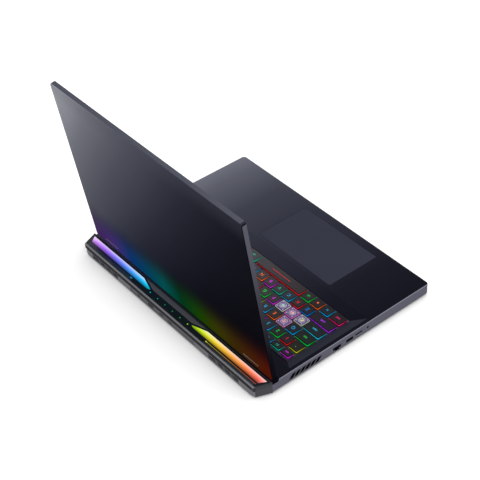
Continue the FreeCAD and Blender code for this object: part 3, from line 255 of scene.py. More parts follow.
# Side vents, painted dark as shade on the side face: how far they lean forward for each millimetre of height,
# their pitch and the place of a rib
VENT_LEAN = 0.806
VENT_PITCH = 9.0
VENT_RIB = 66.0
VENT_RIB_HALF = 0.75
VENT_START = 57.6
VENT_END = 110.4
VENT_FOOT = 7.0
VENT_HEAD = 15.0


def deck_metal():
    """Dark metal with a painted sheen, a side painted paler as lit, painted highlights on the upper edges and
    painted shade on the cut walls in the side.
    """
    shader = Shader("deck_metal")
    x = shader.along("X")
    wide = shader.math("ABSOLUTE", x)
    y = shader.along("Y")
    z = shader.along("Z")
    patches = shader.noise(5.0, 3.0)
    fine = shader.noise(5200.0, 2.0)
    # Painted sheen across X
    tone = shader.ramp(x, -SPREAD_X, SPREAD_X, DECK_STOPS)
    # Painted light and shade by facing: inner faces turned towards +X lighter, faces turned to the front darker
    inner = shader.rise(wide, SIDE_X - 2.0, SIDE_X - 3.0)
    lit_right_faces = shader.math("MULTIPLY", shader.rise(shader.facing("X"), 0.06, 0.2), inner)
    tone = shader.mix(lit_right_faces, tone, srgb(46, 48, 60))
    shaded_front_faces = shader.math("MULTIPLY", shader.rise(shader.facing("Y"), -0.06, -0.2), inner)
    tone = shader.mix(shaded_front_faces, tone, srgb(12, 12, 22))
    tone = shader.mix(shader.span(patches, 0.0, 0.2), tone, srgb(26, 26, 36))
    # Painted shade: the cut walls inside the side near-black
    cut = shader.math("MULTIPLY", shader.rise(wide, SIDE_X - 2.8, SIDE_X - 2.2),
                      shader.rise(z, DECK_Z - 2.2, DECK_Z - 2.5))
    tone = shader.mix(cut, tone, srgb(5, 5, 6))
    # The side face is painted paler, as lit from that side
    side = srgb(101, 102, 115)
    # Painted shade: the side vents' openings and the card slot near-black, the ribs between the vents keep the
    # side's tone
    lean = shader.math("ADD", y, shader.math("MULTIPLY", z, VENT_LEAN))
    rib = shader.math("PINGPONG", shader.math("SUBTRACT", lean, VENT_RIB), VENT_PITCH / 2)
    vents = shader.math("MULTIPLY", shader.window(lean, VENT_START, VENT_END, 0.3),
                        shader.window(z, VENT_FOOT, VENT_HEAD, 0.3))
    vents = shader.math("MULTIPLY", vents, shader.rise(rib, VENT_RIB_HALF, VENT_RIB_HALF + 0.2))
    card = shader.math("MULTIPLY", shader.window(y, card_low.y, card_high.y, 0.3),
                       shader.window(z, card_low.z + 0.2, card_high.z - 0.1, 0.2))
    card = shader.math("MULTIPLY", card, shader.rise(x, 0.0, -100.0))
    side = shader.mix(shader.math("MAXIMUM", vents, card), side, srgb(9, 9, 11))
    tone = shader.mix(shader.rise(wide, SIDE_X - 0.25, SIDE_X - 0.05), tone, side)
    # Painted highlight along the upper side and front edges
    edge = shader.math("MAXIMUM", shader.rise(wide, SIDE_X - 1.0, SIDE_X - 0.7),
                       shader.rise(y, FRONT_Y + 1.0, FRONT_Y + 0.7))
    edge = shader.math("MULTIPLY", edge, shader.rise(z, DECK_Z - 1.0, DECK_Z - 0.75))
    tone = shader.mix(edge, tone, srgb(136, 136, 150))
    shader.set(color=tone, roughness=shader.span(patches, 0.42, 0.54), normal=shader.bump(fine, 0.3),
               specular=0.025)
    return shader


def lid_metal():
    """The same metal with a painted sheen; the light bars' colours are painted as a glow on the lower part of the
    back.
    """
    shader = Shader("lid_metal")
    x = shader.along("X")
    wide = shader.math("ABSOLUTE", x)
    y = shader.along("Y")
    z = shader.along("Z")
    rise_part = shader.math("MULTIPLY", shader.math("SUBTRACT", z, HINGE.z), LID_UP.z)
    lean_part = shader.math("MULTIPLY", shader.math("SUBTRACT", y, HINGE.y), LID_UP.y)
    height = shader.math("ADD", rise_part, lean_part)
    patches = shader.noise(4.0, 3.0)
    fine = shader.noise(5200.0, 2.0)
    # Painted sheen by X and height
    sheen = shader.math("ADD", shader.math("MULTIPLY", height, SHEEN_RISE), x)
    tone = shader.ramp(sheen, LID_STOPS[0][0], LID_STOPS[-1][0], LID_STOPS)
    tone = shader.mix(shader.span(patches, 0.0, 0.12), tone, srgb(20, 20, 30))
    # Painted sheen, lighter towards the top edge
    upper = shader.math("MULTIPLY", shader.rise(height, LID_HEIGHT - 37.2, LID_HEIGHT - 0.2), 0.22)
    tone = shader.mix(upper, tone, srgb(92, 94, 108))
    near = shader.rise(height, GLOW_HEAD, GLOW_FOOT)
    # Painted shade at the foot of the lid
    tone = shader.mix(shader.rise(height, FOOT_SHADE_HEAD, GLOW_FOOT), tone, srgb(4, 4, 6))
    side = shader.rise(wide, LID_X - 0.25, LID_X - 0.1)
    back = shader.rise(wide, LID_X - 0.7, LID_X - 1.0)
    line = shader.math("MULTIPLY", shader.rise(wide, LID_X - 1.1, LID_X - 0.8),
                       shader.rise(wide, LID_X - 0.1, LID_X - 0.25))
    tone = shader.mix(line, tone, srgb(6, 6, 9))
    # Painted light and shade on the lid's side faces: dark at the foot, paler upward, as lit
    side_shade_to_light = shader.mix(shader.rise(height, 20.0, LID_HEIGHT + 6.8), srgb(12, 11, 20), srgb(96, 97, 110))
    tone = shader.mix(side, tone, side_shade_to_light)
    # Painted highlight along the top edge
    tone = shader.mix(shader.rise(height, LID_HEIGHT - 0.6, LID_HEIGHT - 0.2), tone, srgb(84, 86, 98))
    # Painted glow of the light bars on the lower back, as emission; it fades upward and on faces not turned to the
    # rear
    glow = shader.ramp(x, -SPREAD_X, SPREAD_X, LID_GLOW_STOPS)
    level = shader.math("MULTIPLY", shader.math("POWER", near, GLOW_FALL), back)
    level = shader.math("MULTIPLY", level, shader.rise(shader.facing("Y"), 0.2, 0.6))
    shader.set(color=tone, roughness=shader.span(patches, 0.46, 0.58), normal=shader.bump(fine, 0.3),
               specular=0.004, glow=glow, glow_strength=level)
    return shader


def bar_light(name):
    """A frosted light guide, with a painted highlight along the lid and at its mitred end, and painted shade
    darker to the rear.
    """
    shader = Shader(name)
    x = shader.along("X")
    wide = shader.math("ABSOLUTE", x)
    y = shader.along("Y")
    frost = shader.noise(900.0, 2.0)
    hue = shader.ramp(x, -SPREAD_X, SPREAD_X, BAR_STOPS)
    white = srgb(255, 246, 250)
    # Painted highlight along the lid side
    front = shader.rise(y, bar_low.y + 4.8, bar_low.y + 0.6)
    light = shader.mix(shader.math("MULTIPLY", front, 0.45), hue, white)
    # Painted highlight on the mitred end
    mitre = shader.math("ADD", wide, shader.math("MULTIPLY", y, MITRE_SLOPE))
    end = shader.rise(mitre, MITRE_END - 0.68, MITRE_END - 0.28)
    light = shader.mix(shader.math("MULTIPLY", end, 0.3), light, white)
    # Painted shade: the glow falls off to the rear and almost to nothing at the rear rim
    level = shader.span(shader.rise(y, bar_high.y - 1.8, bar_high.y - 6.8), 0.35, 0.95)
    rim = shader.rise(y, bar_high.y - 0.8, bar_high.y - 2.2)
    level = shader.math("MULTIPLY", level, shader.span(rim, 0.03, 1.0))
    level = shader.math("MULTIPLY", level, shader.span(frost, 0.9, 1.1))
    shader.set(color=shader.scale(hue, 0.15), roughness=shader.span(frost, 0.3, 0.45), specular=0.15,
               normal=shader.bump(frost, 0.1), glow=light, glow_strength=level)
    return shader


def strip_light():
    """A fine lit line, bright only at its inner end."""
    shader = Shader("accent_light")
    x = shader.along("X")
    wide = shader.math("ABSOLUTE", x)
    frost = shader.noise(900.0, 2.0)
    hue = shader.ramp(x, -SPREAD_X, SPREAD_X, BAR_STOPS)
    level = shader.mix(shader.rise(x, 20.0, -20.0), srgb(64, 64, 64), srgb(150, 150, 150))
    inner_end = shader.rise(wide, STRIP_INNER + 5.0, STRIP_INNER + 2.0)
    level = shader.mix(inner_end, level, srgb(250, 250, 250))
    level = shader.math("MULTIPLY", level, shader.span(frost, 0.9, 1.1))
    shader.set(color=shader.scale(hue, 0.1), roughness=shader.span(frost, 0.3, 0.45), specular=0.15,
               glow=hue, glow_strength=level)
    return shader


def smoked_gloss():
    return finish("smoked_gloss", (24, 31, 39), (36, 45, 53), 0.2, patch=20.0, relief=0.04, spread=0.04,
                  specular=0.2, coat=0.1, coat_roughness=0.1)


def module_plastic():
    """The rear module: a painted highlight on the rear rim, a dark band painted as the shade of its undercut, grey
    blocks below it.
    """
    shader = Shader("module_plastic")
    y = shader.along("Y")
    z = shader.along("Z")
    patches = shader.noise(22.0, 3.0)
    fine = shader.noise(3000.0, 2.0)
    rear = shader.rise(y, MODULE_REAR - 2.4, MODULE_REAR - 2.0)
    # The band above BAND_FOOT is painted dark as the shade of its undercut; the blocks below keep their grey
    tone = shader.mix(shader.rise(z, BAND_FOOT, BAND_FOOT + 0.3), srgb(138, 138, 144), srgb(34, 34, 38))
    ends = shader.rise(shader.math("ABSOLUTE", shader.facing("X")), 0.5, 0.8)
    tone = shader.mix(ends, tone, srgb(72, 72, 78))
    # Painted highlight on the rear edge of the rim; the rest of the rim top keeps its own dark grey
    rim_tone = shader.mix(rear, srgb(44, 48, 54), srgb(146, 146, 152))
    tone = shader.mix(shader.rise(z, BAND_HEAD, BAND_HEAD + 0.3), tone, rim_tone)
    # Painted shade on the rear corner facets of the end faces
    corner = shader.math("MULTIPLY", ends, shader.rise(y, MODULE_REAR - 2.8, MODULE_REAR - 1.8))
    tone = shader.mix(corner, tone, srgb(26, 26, 30))
    tone = shader.mix(shader.span(patches, 0.0, 0.25), tone, srgb(46, 47, 52))
    shader.set(color=tone, roughness=shader.span(patches, 0.46, 0.6), normal=shader.bump(fine, 0.35),
               specular=0.2)
    return shader


def socket_metal():
    """Plated shells with a dark blue tongue inside the flat data sockets."""
    shader = finish("socket_metal", (70, 70, 76), (104, 104, 110), 0.34, patch=60.0, metallic=0.8)
    x = shader.math("ABSOLUTE", shader.along("X"))
    z = shader.along("Z")
    inside = shader.math("MULTIPLY", shader.rise(x, SIDE_X - 2.6, SIDE_X - 2.8), shader.rise(x, 150.0, 170.0))
    inside = shader.math("MULTIPLY", inside, shader.window(z, 10.4, 12.4, 0.2))
    shader.set(color=shader.mix(inside, srgb(84, 84, 90), srgb(18, 60, 96)))
    return shader


def screen_face():
    shader = Shader("screen")
    grid = shader.cells(2400.0)
    veil = shader.noise(3.0, 2.0)
    shader.set(color=shader.mix(veil, srgb(9, 9, 11), srgb(16, 16, 20)), normal=shader.bump(grid, 0.05),
               roughness=shader.span(veil, 0.2, 0.3), specular=0.4)
    return shader


def circuit_board():
    shader = finish("circuit_board", (14, 30, 24), (22, 46, 36), 0.45, patch=300.0)
    tracks = shader.cells(420.0)
    shader.set(color=shader.mix(shader.rise(tracks, 0.05, 0.12), srgb(120, 96, 52), srgb(16, 36, 28)))
    return shader


def backlight():
    shader = Shader("backlight")
    hue = shader.node("ShaderNodeTexNoise", {"Vector": shader.place, "Scale": 34.0}).outputs["Color"]
    shader.set(color=srgb(120, 116, 130), roughness=shader.span(shader.noise(900.0), 0.4, 0.6),
               glow=hue, glow_strength=0.12)
    return shader


def key_plate():
    return finish("key_plate", (16, 17, 28), (26, 26, 42), 0.4, patch=60.0)


def key_cap():
    """A black key cap with a painted sheen across X that takes a little of its own light's colour as a faint
    painted glow.
    """
    shader = Shader("key_cap")
    fine = shader.noise(4200.0, 2.0)
    patches = shader.noise(120.0, 2.0)
    own = shader.painted("glow")
    # Painted sheen across X
    base = shader.ramp(shader.along("X"), -SPREAD_X, SPREAD_X, CAP_STOPS)
    base = shader.mix(shader.span(patches, 0.0, 0.3), base, srgb(20, 20, 24))
    shader.set(color=base, roughness=shader.span(fine, 0.42, 0.62), normal=shader.bump(fine, 0.4),
               specular=0.11, glow=own, glow_strength=0.008)
    return shader


def key_light(name, strength):
    """Light that leaks round the foot of a key, or through its letter."""
    shader = Shader(name)
    haze = shader.noise(260.0, 2.0)
    own = shader.painted("glow")
    shader.set(color=shader.scale(own, 0.3), roughness=shader.span(haze, 0.35, 0.5), glow=own,
               glow_strength=shader.span(haze, 0.5 * strength, 1.5 * strength), specular=0.2)
    return shader


def clear_cap():
    shader = Shader("clear_cap")
    specks = shader.cells(900.0)
    shader.set(color=shader.mix(shader.rise(specks, 0.1, 0.5), srgb(190, 172, 204), srgb(108, 92, 132)),
               roughness=shader.span(specks, 0.14, 0.3), normal=shader.bump(specks, 0.2), specular=0.4,
               alpha=0.35)
    return shader


def rib_plastic():
    return finish("rib_plastic", (46, 60, 68), (62, 78, 86), 0.35, patch=30.0, specular=0.2)


def centre_facet():
    return finish("centre_facet", (92, 92, 102), (110, 110, 120), 0.3, patch=16.0, specular=0.2)


MATERIAL_OF_SLOT = {
    "deck_metal": deck_metal(),
    "lid_metal": lid_metal(),
    "bottom_plastic": finish("bottom_plastic", (30, 30, 34), (40, 40, 45), 0.6, patch=30.0, grain=1600.0),
    "module_plastic": module_plastic(),
    "smoked_gloss": smoked_gloss(),
    "light_guide": bar_light("light_guide"),
    "accent_light": strip_light(),
    "grille": finish("grille", (96, 96, 102), (116, 116, 122), 0.5, patch=50.0, specular=0.2),
    "key_plastic": finish("key_plastic", (30, 30, 35), (42, 42, 47), 0.5, patch=120.0),
    "clear_key": finish("clear_key", (120, 104, 140), (160, 140, 176), 0.3, patch=120.0),
    "key_plate": key_plate(),
    "backlight": backlight(),
    "touchpad_surface": finish("touchpad_surface", (52, 54, 69), (60, 62, 77), 0.5, patch=6.0, grain=5000.0,
                               specular=0.03),
    "screen": screen_face(),
    "bezel_plastic": finish("bezel_plastic", (20, 20, 23), (28, 28, 32), 0.58, patch=30.0, grain=1800.0),
    "rubber": finish("rubber", (46, 45, 48), (60, 59, 62), 0.75, patch=80.0, grain=1400.0, relief=0.5),
    "steel": finish("steel", (150, 150, 154), (176, 176, 180), 0.32, patch=200.0, metallic=0.9),
    "socket_metal": socket_metal(),
    "socket_plastic": finish("socket_plastic", (12, 12, 14), (22, 22, 25), 0.5, patch=90.0),
    "circuit_board": circuit_board(),
    "chip": finish("chip", (44, 44, 50), (66, 66, 74), 0.25, patch=120.0),
    "copper": finish("copper", (176, 104, 66), (206, 132, 90), 0.3, patch=90.0, metallic=0.95),
    "fin_metal": finish("fin_metal", (40, 40, 44), (58, 58, 62), 0.45, patch=120.0, metallic=0.6),
    "battery_wrap": finish("battery_wrap", (20, 20, 22), (34, 34, 36), 0.45, patch=40.0),
    "lens": finish("lens", (10, 10, 14), (24, 22, 34), 0.12, patch=400.0, relief=0.02),
}
for entry in frame["record"]["subparts"]:
    skin_list = nodes[entry["node"]].data.materials
    skin_list.clear()
    skin_list.append(MATERIAL_OF_SLOT[entry["material_slot"]].material)
pale_rubber = finish("pale_rubber", (110, 102, 102), (126, 118, 118), 0.7, patch=80.0, grain=1400.0,
                     relief=0.5)
nodes["lid_stops"].data.materials[0] = pale_rubber.material
# Near-black standing in for the shade inside the card slot and behind the side vents
shade_black = finish("shade_black", (4, 4, 5), (9, 9, 10), 0.7, patch=200.0, specular=0.05)
nodes["card_socket"].data.materials[0] = shade_black.material
dark_steel = finish("dark_steel", (34, 34, 38), (46, 46, 51), 0.42, patch=120.0, metallic=0.5, specular=0.2)
for hinge in ("hinge_arm_left", "hinge_arm_right", "hinge_bracket_left", "hinge_bracket_right"):
    nodes[hinge].data.materials[0] = dark_steel.material


# Mesh helpers

def rounded_outline(x0, x1, y0, y1, radius, steps=4):
    corners = ((x1 - radius, y1 - radius, 0), (x0 + radius, y1 - radius, 90),
               (x0 + radius, y0 + radius, 180), (x1 - radius, y0 + radius, 270))
    points = []
    for cx, cy, start in corners:
        for step in range(steps + 1):
            turn = math.radians(start + 90.0 * step / steps)
            points.append((cx + radius * math.cos(turn), cy + radius * math.sin(turn)))
    return points


def circle_outline(x, y, radius, steps=20):
    return [(x + radius * math.cos(2 * math.pi * i / steps), y + radius * math.sin(2 * math.pi * i / steps))
            for i in range(steps)]


def stack(bm, levels, slots):
    """Closed skin through outlines at rising levels; slots holds a material slot per band, then the top's."""
    rings = [[bm.verts.new((x, y, z)) for x, y in outline] for outline, z in levels]
    bottom = bm.faces.new(list(reversed(rings[0])))
    bottom.material_index = slots[0]
    for lower, upper, slot in zip(rings, rings[1:], slots):
        count = len(lower)
        for i in range(count):
            j = (i + 1) % count
            face = bm.faces.new((lower[i], lower[j], upper[j], upper[i]))
            face.material_index = slot
    top = bm.faces.new(rings[-1])
    top.material_index = slots[-1]
    return [v for ring in rings for v in ring]


def piece(name, bm, body, materials):
    """A new object from a mesh in the row frame, riding on a body."""
    mesh = bpy.data.meshes.new(name)
    bm.normal_update()
    bm.to_mesh(mesh)
    bm.free()
    for shader in materials:
        mesh.materials.append(shader.material)
    made = bpy.data.objects.new(name, mesh)
    bpy.context.scene.collection.objects.link(made)
    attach(made, body)
    return made


def islands(node):
    """The boxes of a CAD node's separate solids, as (low corner, high corner)."""
    mesh = nodes[node].data
    spots = [tuple(round(c, 6) for c in v.co) for v in mesh.vertices]
    leader = {spot: spot for spot in spots}

    def find(spot):
        while leader[spot] != spot:
            leader[spot] = leader[leader[spot]]
            spot = leader[spot]
        return spot

    for edge in mesh.edges:
        a, b = (find(spots[i]) for i in edge.vertices)
        if a != b:
            leader[a] = b
    groups = {}
    for spot in set(spots):
        groups.setdefault(find(spot), []).append(spot)
    boxes = []
    for group in groups.values():
        low = Vector([min(p[i] for p in group) for i in range(3)])
        high = Vector([max(p[i] for p in group) for i in range(3)])
        boxes.append((low, high))
    return boxes


# Keys: each has a black cap, a lit foot and a lit letter

HUES = {
    "pink": (255, 20, 130), "magenta": (225, 40, 235), "violet": (190, 50, 255), "blue": (0, 130, 235),
    "azure": (0, 170, 235), "cyan": (30, 205, 240), "teal": (0, 200, 165), "green": (0, 215, 70),
    "yellow": (205, 205, 20), "orange": (255, 110, 30), "red": (235, 25, 40), "crimson": (225, 20, 90),
    "white": (235, 240, 225),
}
CAP_RADIUS = 1.3 * MM
FOOT_DROP = 0.6 * MM
FOOT_RISE = 0.35 * MM
LETTER_SIZE = 7.4 * MM
WORD_SIZE = 5.0 * MM
LETTER_THICKNESS = 0.03 * MM
STEM_HALF = 2.5 * MM
CAP, LIGHT, LETTER = 0, 1, 2

key_materials = (key_cap(), key_light("key_light", 0.72), key_light("key_letter", 0.75))
clear_materials = (clear_cap(), key_light("clear_light", 0.7), key_light("clear_letter", 0.9))

# Legends and colours of each row, from the user's left to right
ROWS = {
    "keys_bottom_row": "ctrl:pink fn:azure *:orange alt:green alt:teal ctrl:crimson <:blue v:violet >:green",
    "keys_lower_row": "shift:violet Z:blue X:red C:azure V:teal B:magenta N:orange M:azure ,:green .:pink "
                      "/:teal |:blue ^:orange shift:magenta",
    "keys_home_row": "caps:cyan F:magenta G:green H:crimson J:blue K:orange L:teal ;:violet ':azure "
                     "enter:red",
    "keys_upper_row": "tab:green Q:azure E:orange R:azure T:yellow Y:violet U:green I:red O:cyan P:magenta "
                      "[:teal ]:orange |:blue",
    "keys_number_row": "`:yellow 1:red 2:green 3:azure 4:magenta 5:teal 6:orange 7:blue 8:pink 9:green "
                       "0:violet -:cyan =:red back:green",
    "keys_function_row": "esc:magenta F1:teal F2:azure F3:orange F4:green F5:red F6:violet F7:yellow F8:cyan "
                         "F9:pink F10:blue F11:green F12:orange ins:teal del:magenta pg:azure end:red "
                         "mute:green",
    "keys_numpad": "0:azure .:red enter:violet 1:green 2:orange 3:teal 4:pink 5:blue 6:yellow +:green 7:red "
                   "8:cyan 9:magenta num:orange /:teal x:violet -:azure",
}
# The four clear keys: legend, colour of the foot, colour of the switch
SINGLE_KEYS = {
    "key_w": ("W", (230, 150, 200), (255, 178, 170)), "key_a": ("A", (200, 215, 180), (240, 244, 176)),
    "key_s": ("S", (235, 110, 215), (255, 190, 180)), "key_d": ("D", (215, 222, 210), (196, 240, 214)),
}


def letter_mesh(text, size):
    curve = bpy.data.curves.new("letter", "FONT")
    curve.body = text
    curve.size = size
    curve.align_x = "CENTER"
    curve.align_y = "CENTER"
    curve.resolution_u = 2
    curve.extrude = LETTER_THICKNESS
    maker = bpy.data.objects.new("letter", curve)
    bpy.context.scene.collection.objects.link(maker)
    bpy.context.view_layer.update()
    mesh = bpy.data.meshes.new_from_object(maker.evaluated_get(bpy.context.evaluated_depsgraph_get()))
    bpy.data.objects.remove(maker)
    bpy.data.curves.remove(curve)
    return mesh


def add_letter(bm, glow, text, size, x, y, z, hue):
    mesh = letter_mesh(text, size)
    mesh.transform(Matrix.Translation((x, y, z)))
    first_vert = len(bm.verts)
    first_face = len(bm.faces)
    bm.from_mesh(mesh)
    bpy.data.meshes.remove(mesh)
    bm.verts.ensure_lookup_table()
    bm.faces.ensure_lookup_table()
    for vert in bm.verts[first_vert:]:
        vert[glow] = hue
    for face in bm.faces[first_face:]:
        face.material_index = LETTER


def inset_outline(low, high, inset, radius=CAP_RADIUS):
    return rounded_outline(low.x + inset, high.x - inset, low.y + inset, high.y - inset, radius)


def key_levels(low, high, under, dish):
    """Outlines of one key from its lit foot to its slightly hollow top."""
    top = high.z
    return [(inset_outline(low, high, -0.12 * MM), under - FOOT_DROP),
            (inset_outline(low, high, 0.0), under + FOOT_RISE),
            (inset_outline(low, high, 0.1 * MM), under + FOOT_RISE + 0.05 * MM),
            (inset_outline(low, high, 0.22 * MM), top - 0.4 * MM),
            (inset_outline(low, high, 0.5 * MM), top - 0.08 * MM),
            (inset_outline(low, high, 0.95 * MM), top),
            (inset_outline(low, high, 2.6 * MM), top - dish)]


KEY_SLOTS = (LIGHT, CAP, CAP, CAP, CAP, CAP, CAP)
CAP_HEIGHT = 2.0 * MM
DISH = 0.12 * MM


def add_key(bm, glow, low, high, hue):
    """One key on its stem; its light is strongest at the rear left corner."""
    under = high.z - CAP_HEIGHT
    made = stack(bm, key_levels(low, high, under, DISH), KEY_SLOTS)
    x = (low.x + high.x) / 2
    y = (low.y + high.y) / 2
    stem = [(rounded_outline(x - STEM_HALF, x + STEM_HALF, y - STEM_HALF, y + STEM_HALF, 0.4 * MM, 2), z)
            for z in (low.z, under - FOOT_DROP / 2)]
    made += stack(bm, stem, (CAP, CAP))
    for vert in made:
        across = (vert.co.x - low.x) / (high.x - low.x)
        along = (vert.co.y - low.y) / (high.y - low.y)
        level = 0.3 + 1.0 * along * (1.0 - 0.65 * across)
        vert[glow] = tuple(level * value for value in hue[:3]) + (1.0,)


def add_legend(bm, glow, text, low, high, hue):
    x = (low.x + high.x) / 2
    y = (low.y + high.y) / 2
    z = high.z - DISH + LETTER_THICKNESS
    if text == "*":
        dot = circle_outline(x, y, 1.5 * MM)
        made = stack(bm, [(dot, z - LETTER_THICKNESS), (dot, z + LETTER_THICKNESS)], (LETTER, LETTER))
        for vert in made:
            vert[glow] = hue
        return
    size = LETTER_SIZE if len(text) == 1 else WORD_SIZE
    add_letter(bm, glow, text, size, x, y, z, hue)


def build_key_rows():
    for node, words in ROWS.items():
        legends = [word.rsplit(":", 1) for word in words.split()]
        boxes = sorted(islands(node), key=lambda box: (round(box[0].y, 3), box[0].x))
        if node == "keys_function_row":
            boxes = sorted(boxes, key=lambda box: box[0].x)
        bm = bmesh.new()
        glow = bm.verts.layers.float_color.new("glow")
        for (low, high), (text, color) in zip(boxes, legends, strict=True):
            hue = srgb(*HUES[color])
            add_key(bm, glow, low, high, hue)
            add_legend(bm, glow, text, low, high, hue)
        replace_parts(piece(node.replace("keys", "caps"), bm, node, key_materials), node)


def build_space_bar():
    low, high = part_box("space_bar")
    bm = bmesh.new()
    glow = bm.verts.layers.float_color.new("glow")
    hue = srgb(*HUES["red"])
    add_key(bm, glow, low, high, hue)
    x = (low.x + high.x) / 2
    y = (low.y + high.y) / 2
    z = high.z - DISH
    half = 19.0 * MM
    line = rounded_outline(x - half, x + half, y - 0.3 * MM, y + 0.3 * MM, 0.25 * MM, 2)
    made = stack(bm, [(line, z - LETTER_THICKNESS), (line, z + 2 * LETTER_THICKNESS)], (LETTER, LETTER))
    for vert in made:
        vert[glow] = hue
    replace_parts(piece("cap_space_bar", bm, "space_bar", key_materials), "space_bar")


def build_power_key():
    low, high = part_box("power_button")
    bm = bmesh.new()
    glow = bm.verts.layers.float_color.new("glow")
    hue = srgb(*HUES["white"])
    add_key(bm, glow, low, high, hue)
    x = (low.x + high.x) / 2
    y = (low.y + high.y) / 2
    z = high.z - DISH
    outer = 1.9 * MM
    inner = 1.5 * MM
    gap = math.radians(35)
    arc = [math.pi / 2 + gap + i * (2 * math.pi - 2 * gap) / 20 for i in range(21)]
    ring = [(x + outer * math.cos(a), y + outer * math.sin(a)) for a in arc]
    ring += [(x + inner * math.cos(a), y + inner * math.sin(a)) for a in reversed(arc)]
    half = 0.2 * MM
    foot = y + 0.6 * MM
    head = y + 2.2 * MM
    tick = [(x - half, foot), (x + half, foot), (x + half, head), (x - half, head)]
    made = []
    for shape in (ring, tick):
        levels = [(shape, z - LETTER_THICKNESS), (shape, z + 2 * LETTER_THICKNESS)]
        made += stack(bm, levels, (LETTER, LETTER))
    for vert in made:
        vert[glow] = hue
    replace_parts(piece("cap_power", bm, "power_button", key_materials), "power_button")


def build_clear_keys():
    """See-through caps over a round switch with a ring and four corner posts."""
    lilac = srgb(92, 76, 128)
    pale = srgb(214, 196, 222)
    for node, (text, foot_color, switch_color) in SINGLE_KEYS.items():
        low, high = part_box(node)
        x = (low.x + high.x) / 2
        y = (low.y + high.y) / 2
        under = high.z - CAP_HEIGHT
        bm = bmesh.new()
        glow = bm.verts.layers.float_color.new("glow")

        def add(levels, slots, color):
            for vert in stack(bm, levels, slots):
                vert[glow] = color

        add(key_levels(low, high, under, DISH), KEY_SLOTS, srgb(*foot_color))
        seat = [(inset_outline(low, high, inset * MM), under + rise * MM)
                for inset, rise in ((0.6, -0.5), (0.7, 0.3), (1.1, 0.5))]
        add(seat, (LIGHT, LIGHT, LIGHT), lilac)
        for radius, head, color in ((5.0, 0.6, pale), (4.3, 0.7, lilac), (3.2, 0.9, srgb(*switch_color))):
            disc = circle_outline(x, y, radius * MM)
            add([(disc, under + 0.4 * MM), (disc, under + head * MM)], (LIGHT, LETTER), color)
        reach_x = (high.x - low.x) / 2 - 2.6 * MM
        reach_y = (high.y - low.y) / 2 - 2.6 * MM
        for sx, sy in ((-1, -1), (-1, 1), (1, -1), (1, 1)):
            post = circle_outline(x + sx * reach_x, y + sy * reach_y, 0.8 * MM, 10)
            add([(post, under + 0.4 * MM), (post, under + 0.8 * MM)], (LIGHT, LETTER), pale)
        add_legend(bm, glow, text, low, high, lilac)
        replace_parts(piece("cap_" + text.lower(), bm, node, clear_materials), node)


build_key_rows()
build_space_bar()
build_power_key()
build_clear_keys()


# Top of the rear module: ribbed bands, the facet between the bars' tips and a fine seam

cover_low, cover_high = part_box("light_bar_cover")
cover_top = cover_high.z
strip_boxes = islands("accent_strips")
strip_rear = max(high.y for low, high in strip_boxes)
strip_start = min(low.x for low, high in strip_boxes if low.x > 0)
strip_end = max(high.x for low, high in strip_boxes)
guide_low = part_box("light_guide_right")[0]
RIB_PITCH = 1.3 * MM
RIB_HEIGHT = 0.18 * MM


def build_ribs():
    """Two bands of fine cross ribs behind the bright strips."""
    y0 = strip_rear + 0.35 * MM
    y1 = cover_high.y - 0.5 * MM
    count = int((strip_end - strip_start) / RIB_PITCH)
    bm = bmesh.new()
    for side in (-1, 1):
        for index in range(count):
            x = side * (strip_start + index * RIB_PITCH)
            wide = 0.42 * RIB_PITCH
            slim = 0.22 * RIB_PITCH
            foot = [(x - wide, y0), (x + wide, y0), (x + wide, y1), (x - wide, y1)]
            head = [(x - slim, y0 + slim), (x + slim, y0 + slim),
                    (x + slim, y1 - slim), (x - slim, y1 - slim)]
            stack(bm, [(foot, cover_top), (head, cover_top + RIB_HEIGHT)], (0, 0))
    piece("rear_ribs", bm, "base", (rib_plastic(),))


def build_centre_facet():
    """The grey facet between the two bars' tips, along the lid."""
    tip = guide_low.x
    y0 = cover_low.y + 0.4 * MM
    y1 = guide_low.y + 5.6 * MM
    wide = tip + 22.0 * MM
    slim = tip - 3.0 * MM
    bm = bmesh.new()
    outer = [(-wide, y0), (wide, y0), (slim, y1), (-slim, y1)]
    inner = [(-wide + 1.2 * MM, y0 + 0.3 * MM), (wide - 1.2 * MM, y0 + 0.3 * MM),
             (slim - 0.3 * MM, y1 - 0.3 * MM), (-slim + 0.3 * MM, y1 - 0.3 * MM)]
    stack(bm, [(outer, cover_top), (outer, cover_top + 0.1 * MM), (inner, cover_top + 0.3 * MM)], (0, 0, 0))
    piece("centre_facet", bm, "base", (centre_facet(),))


def build_centre_seam():
    """The fine dark seam along the middle of the cover, with slanted ends."""
    y = strip_rear + 2.2 * MM
    half = 0.25 * MM
    x = strip_start - 4.0 * MM
    bm = bmesh.new()
    line = [(-x, y - half), (x, y - half), (x + 1.5 * MM, y + half), (-x - 1.5 * MM, y + half)]
    stack(bm, [(line, cover_top), (line, cover_top + 0.04 * MM)], (0, 0))
    piece("cover_seam", bm, "base", (MATERIAL_OF_SLOT["socket_plastic"],))


def build_screw_stars():
    """Six-lobed recesses in the screws of the bottom cover."""
    bm = bmesh.new()
    for low, high in islands("bottom_screws"):
        x = (low.x + high.x) / 2
        y = (low.y + high.y) / 2
        star = []
        for index in range(24):
            turn = 2 * math.pi * index / 24
            radius = (1.0 + 0.18 * math.cos(6 * turn)) * MM
            star.append((x + radius * math.cos(turn), y + radius * math.sin(turn)))
        stack(bm, [(star, low.z - 0.03 * MM), (star, low.z + 0.02 * MM)], (0, 0))
    piece("screw_recesses", bm, "base", (MATERIAL_OF_SLOT["socket_plastic"],))


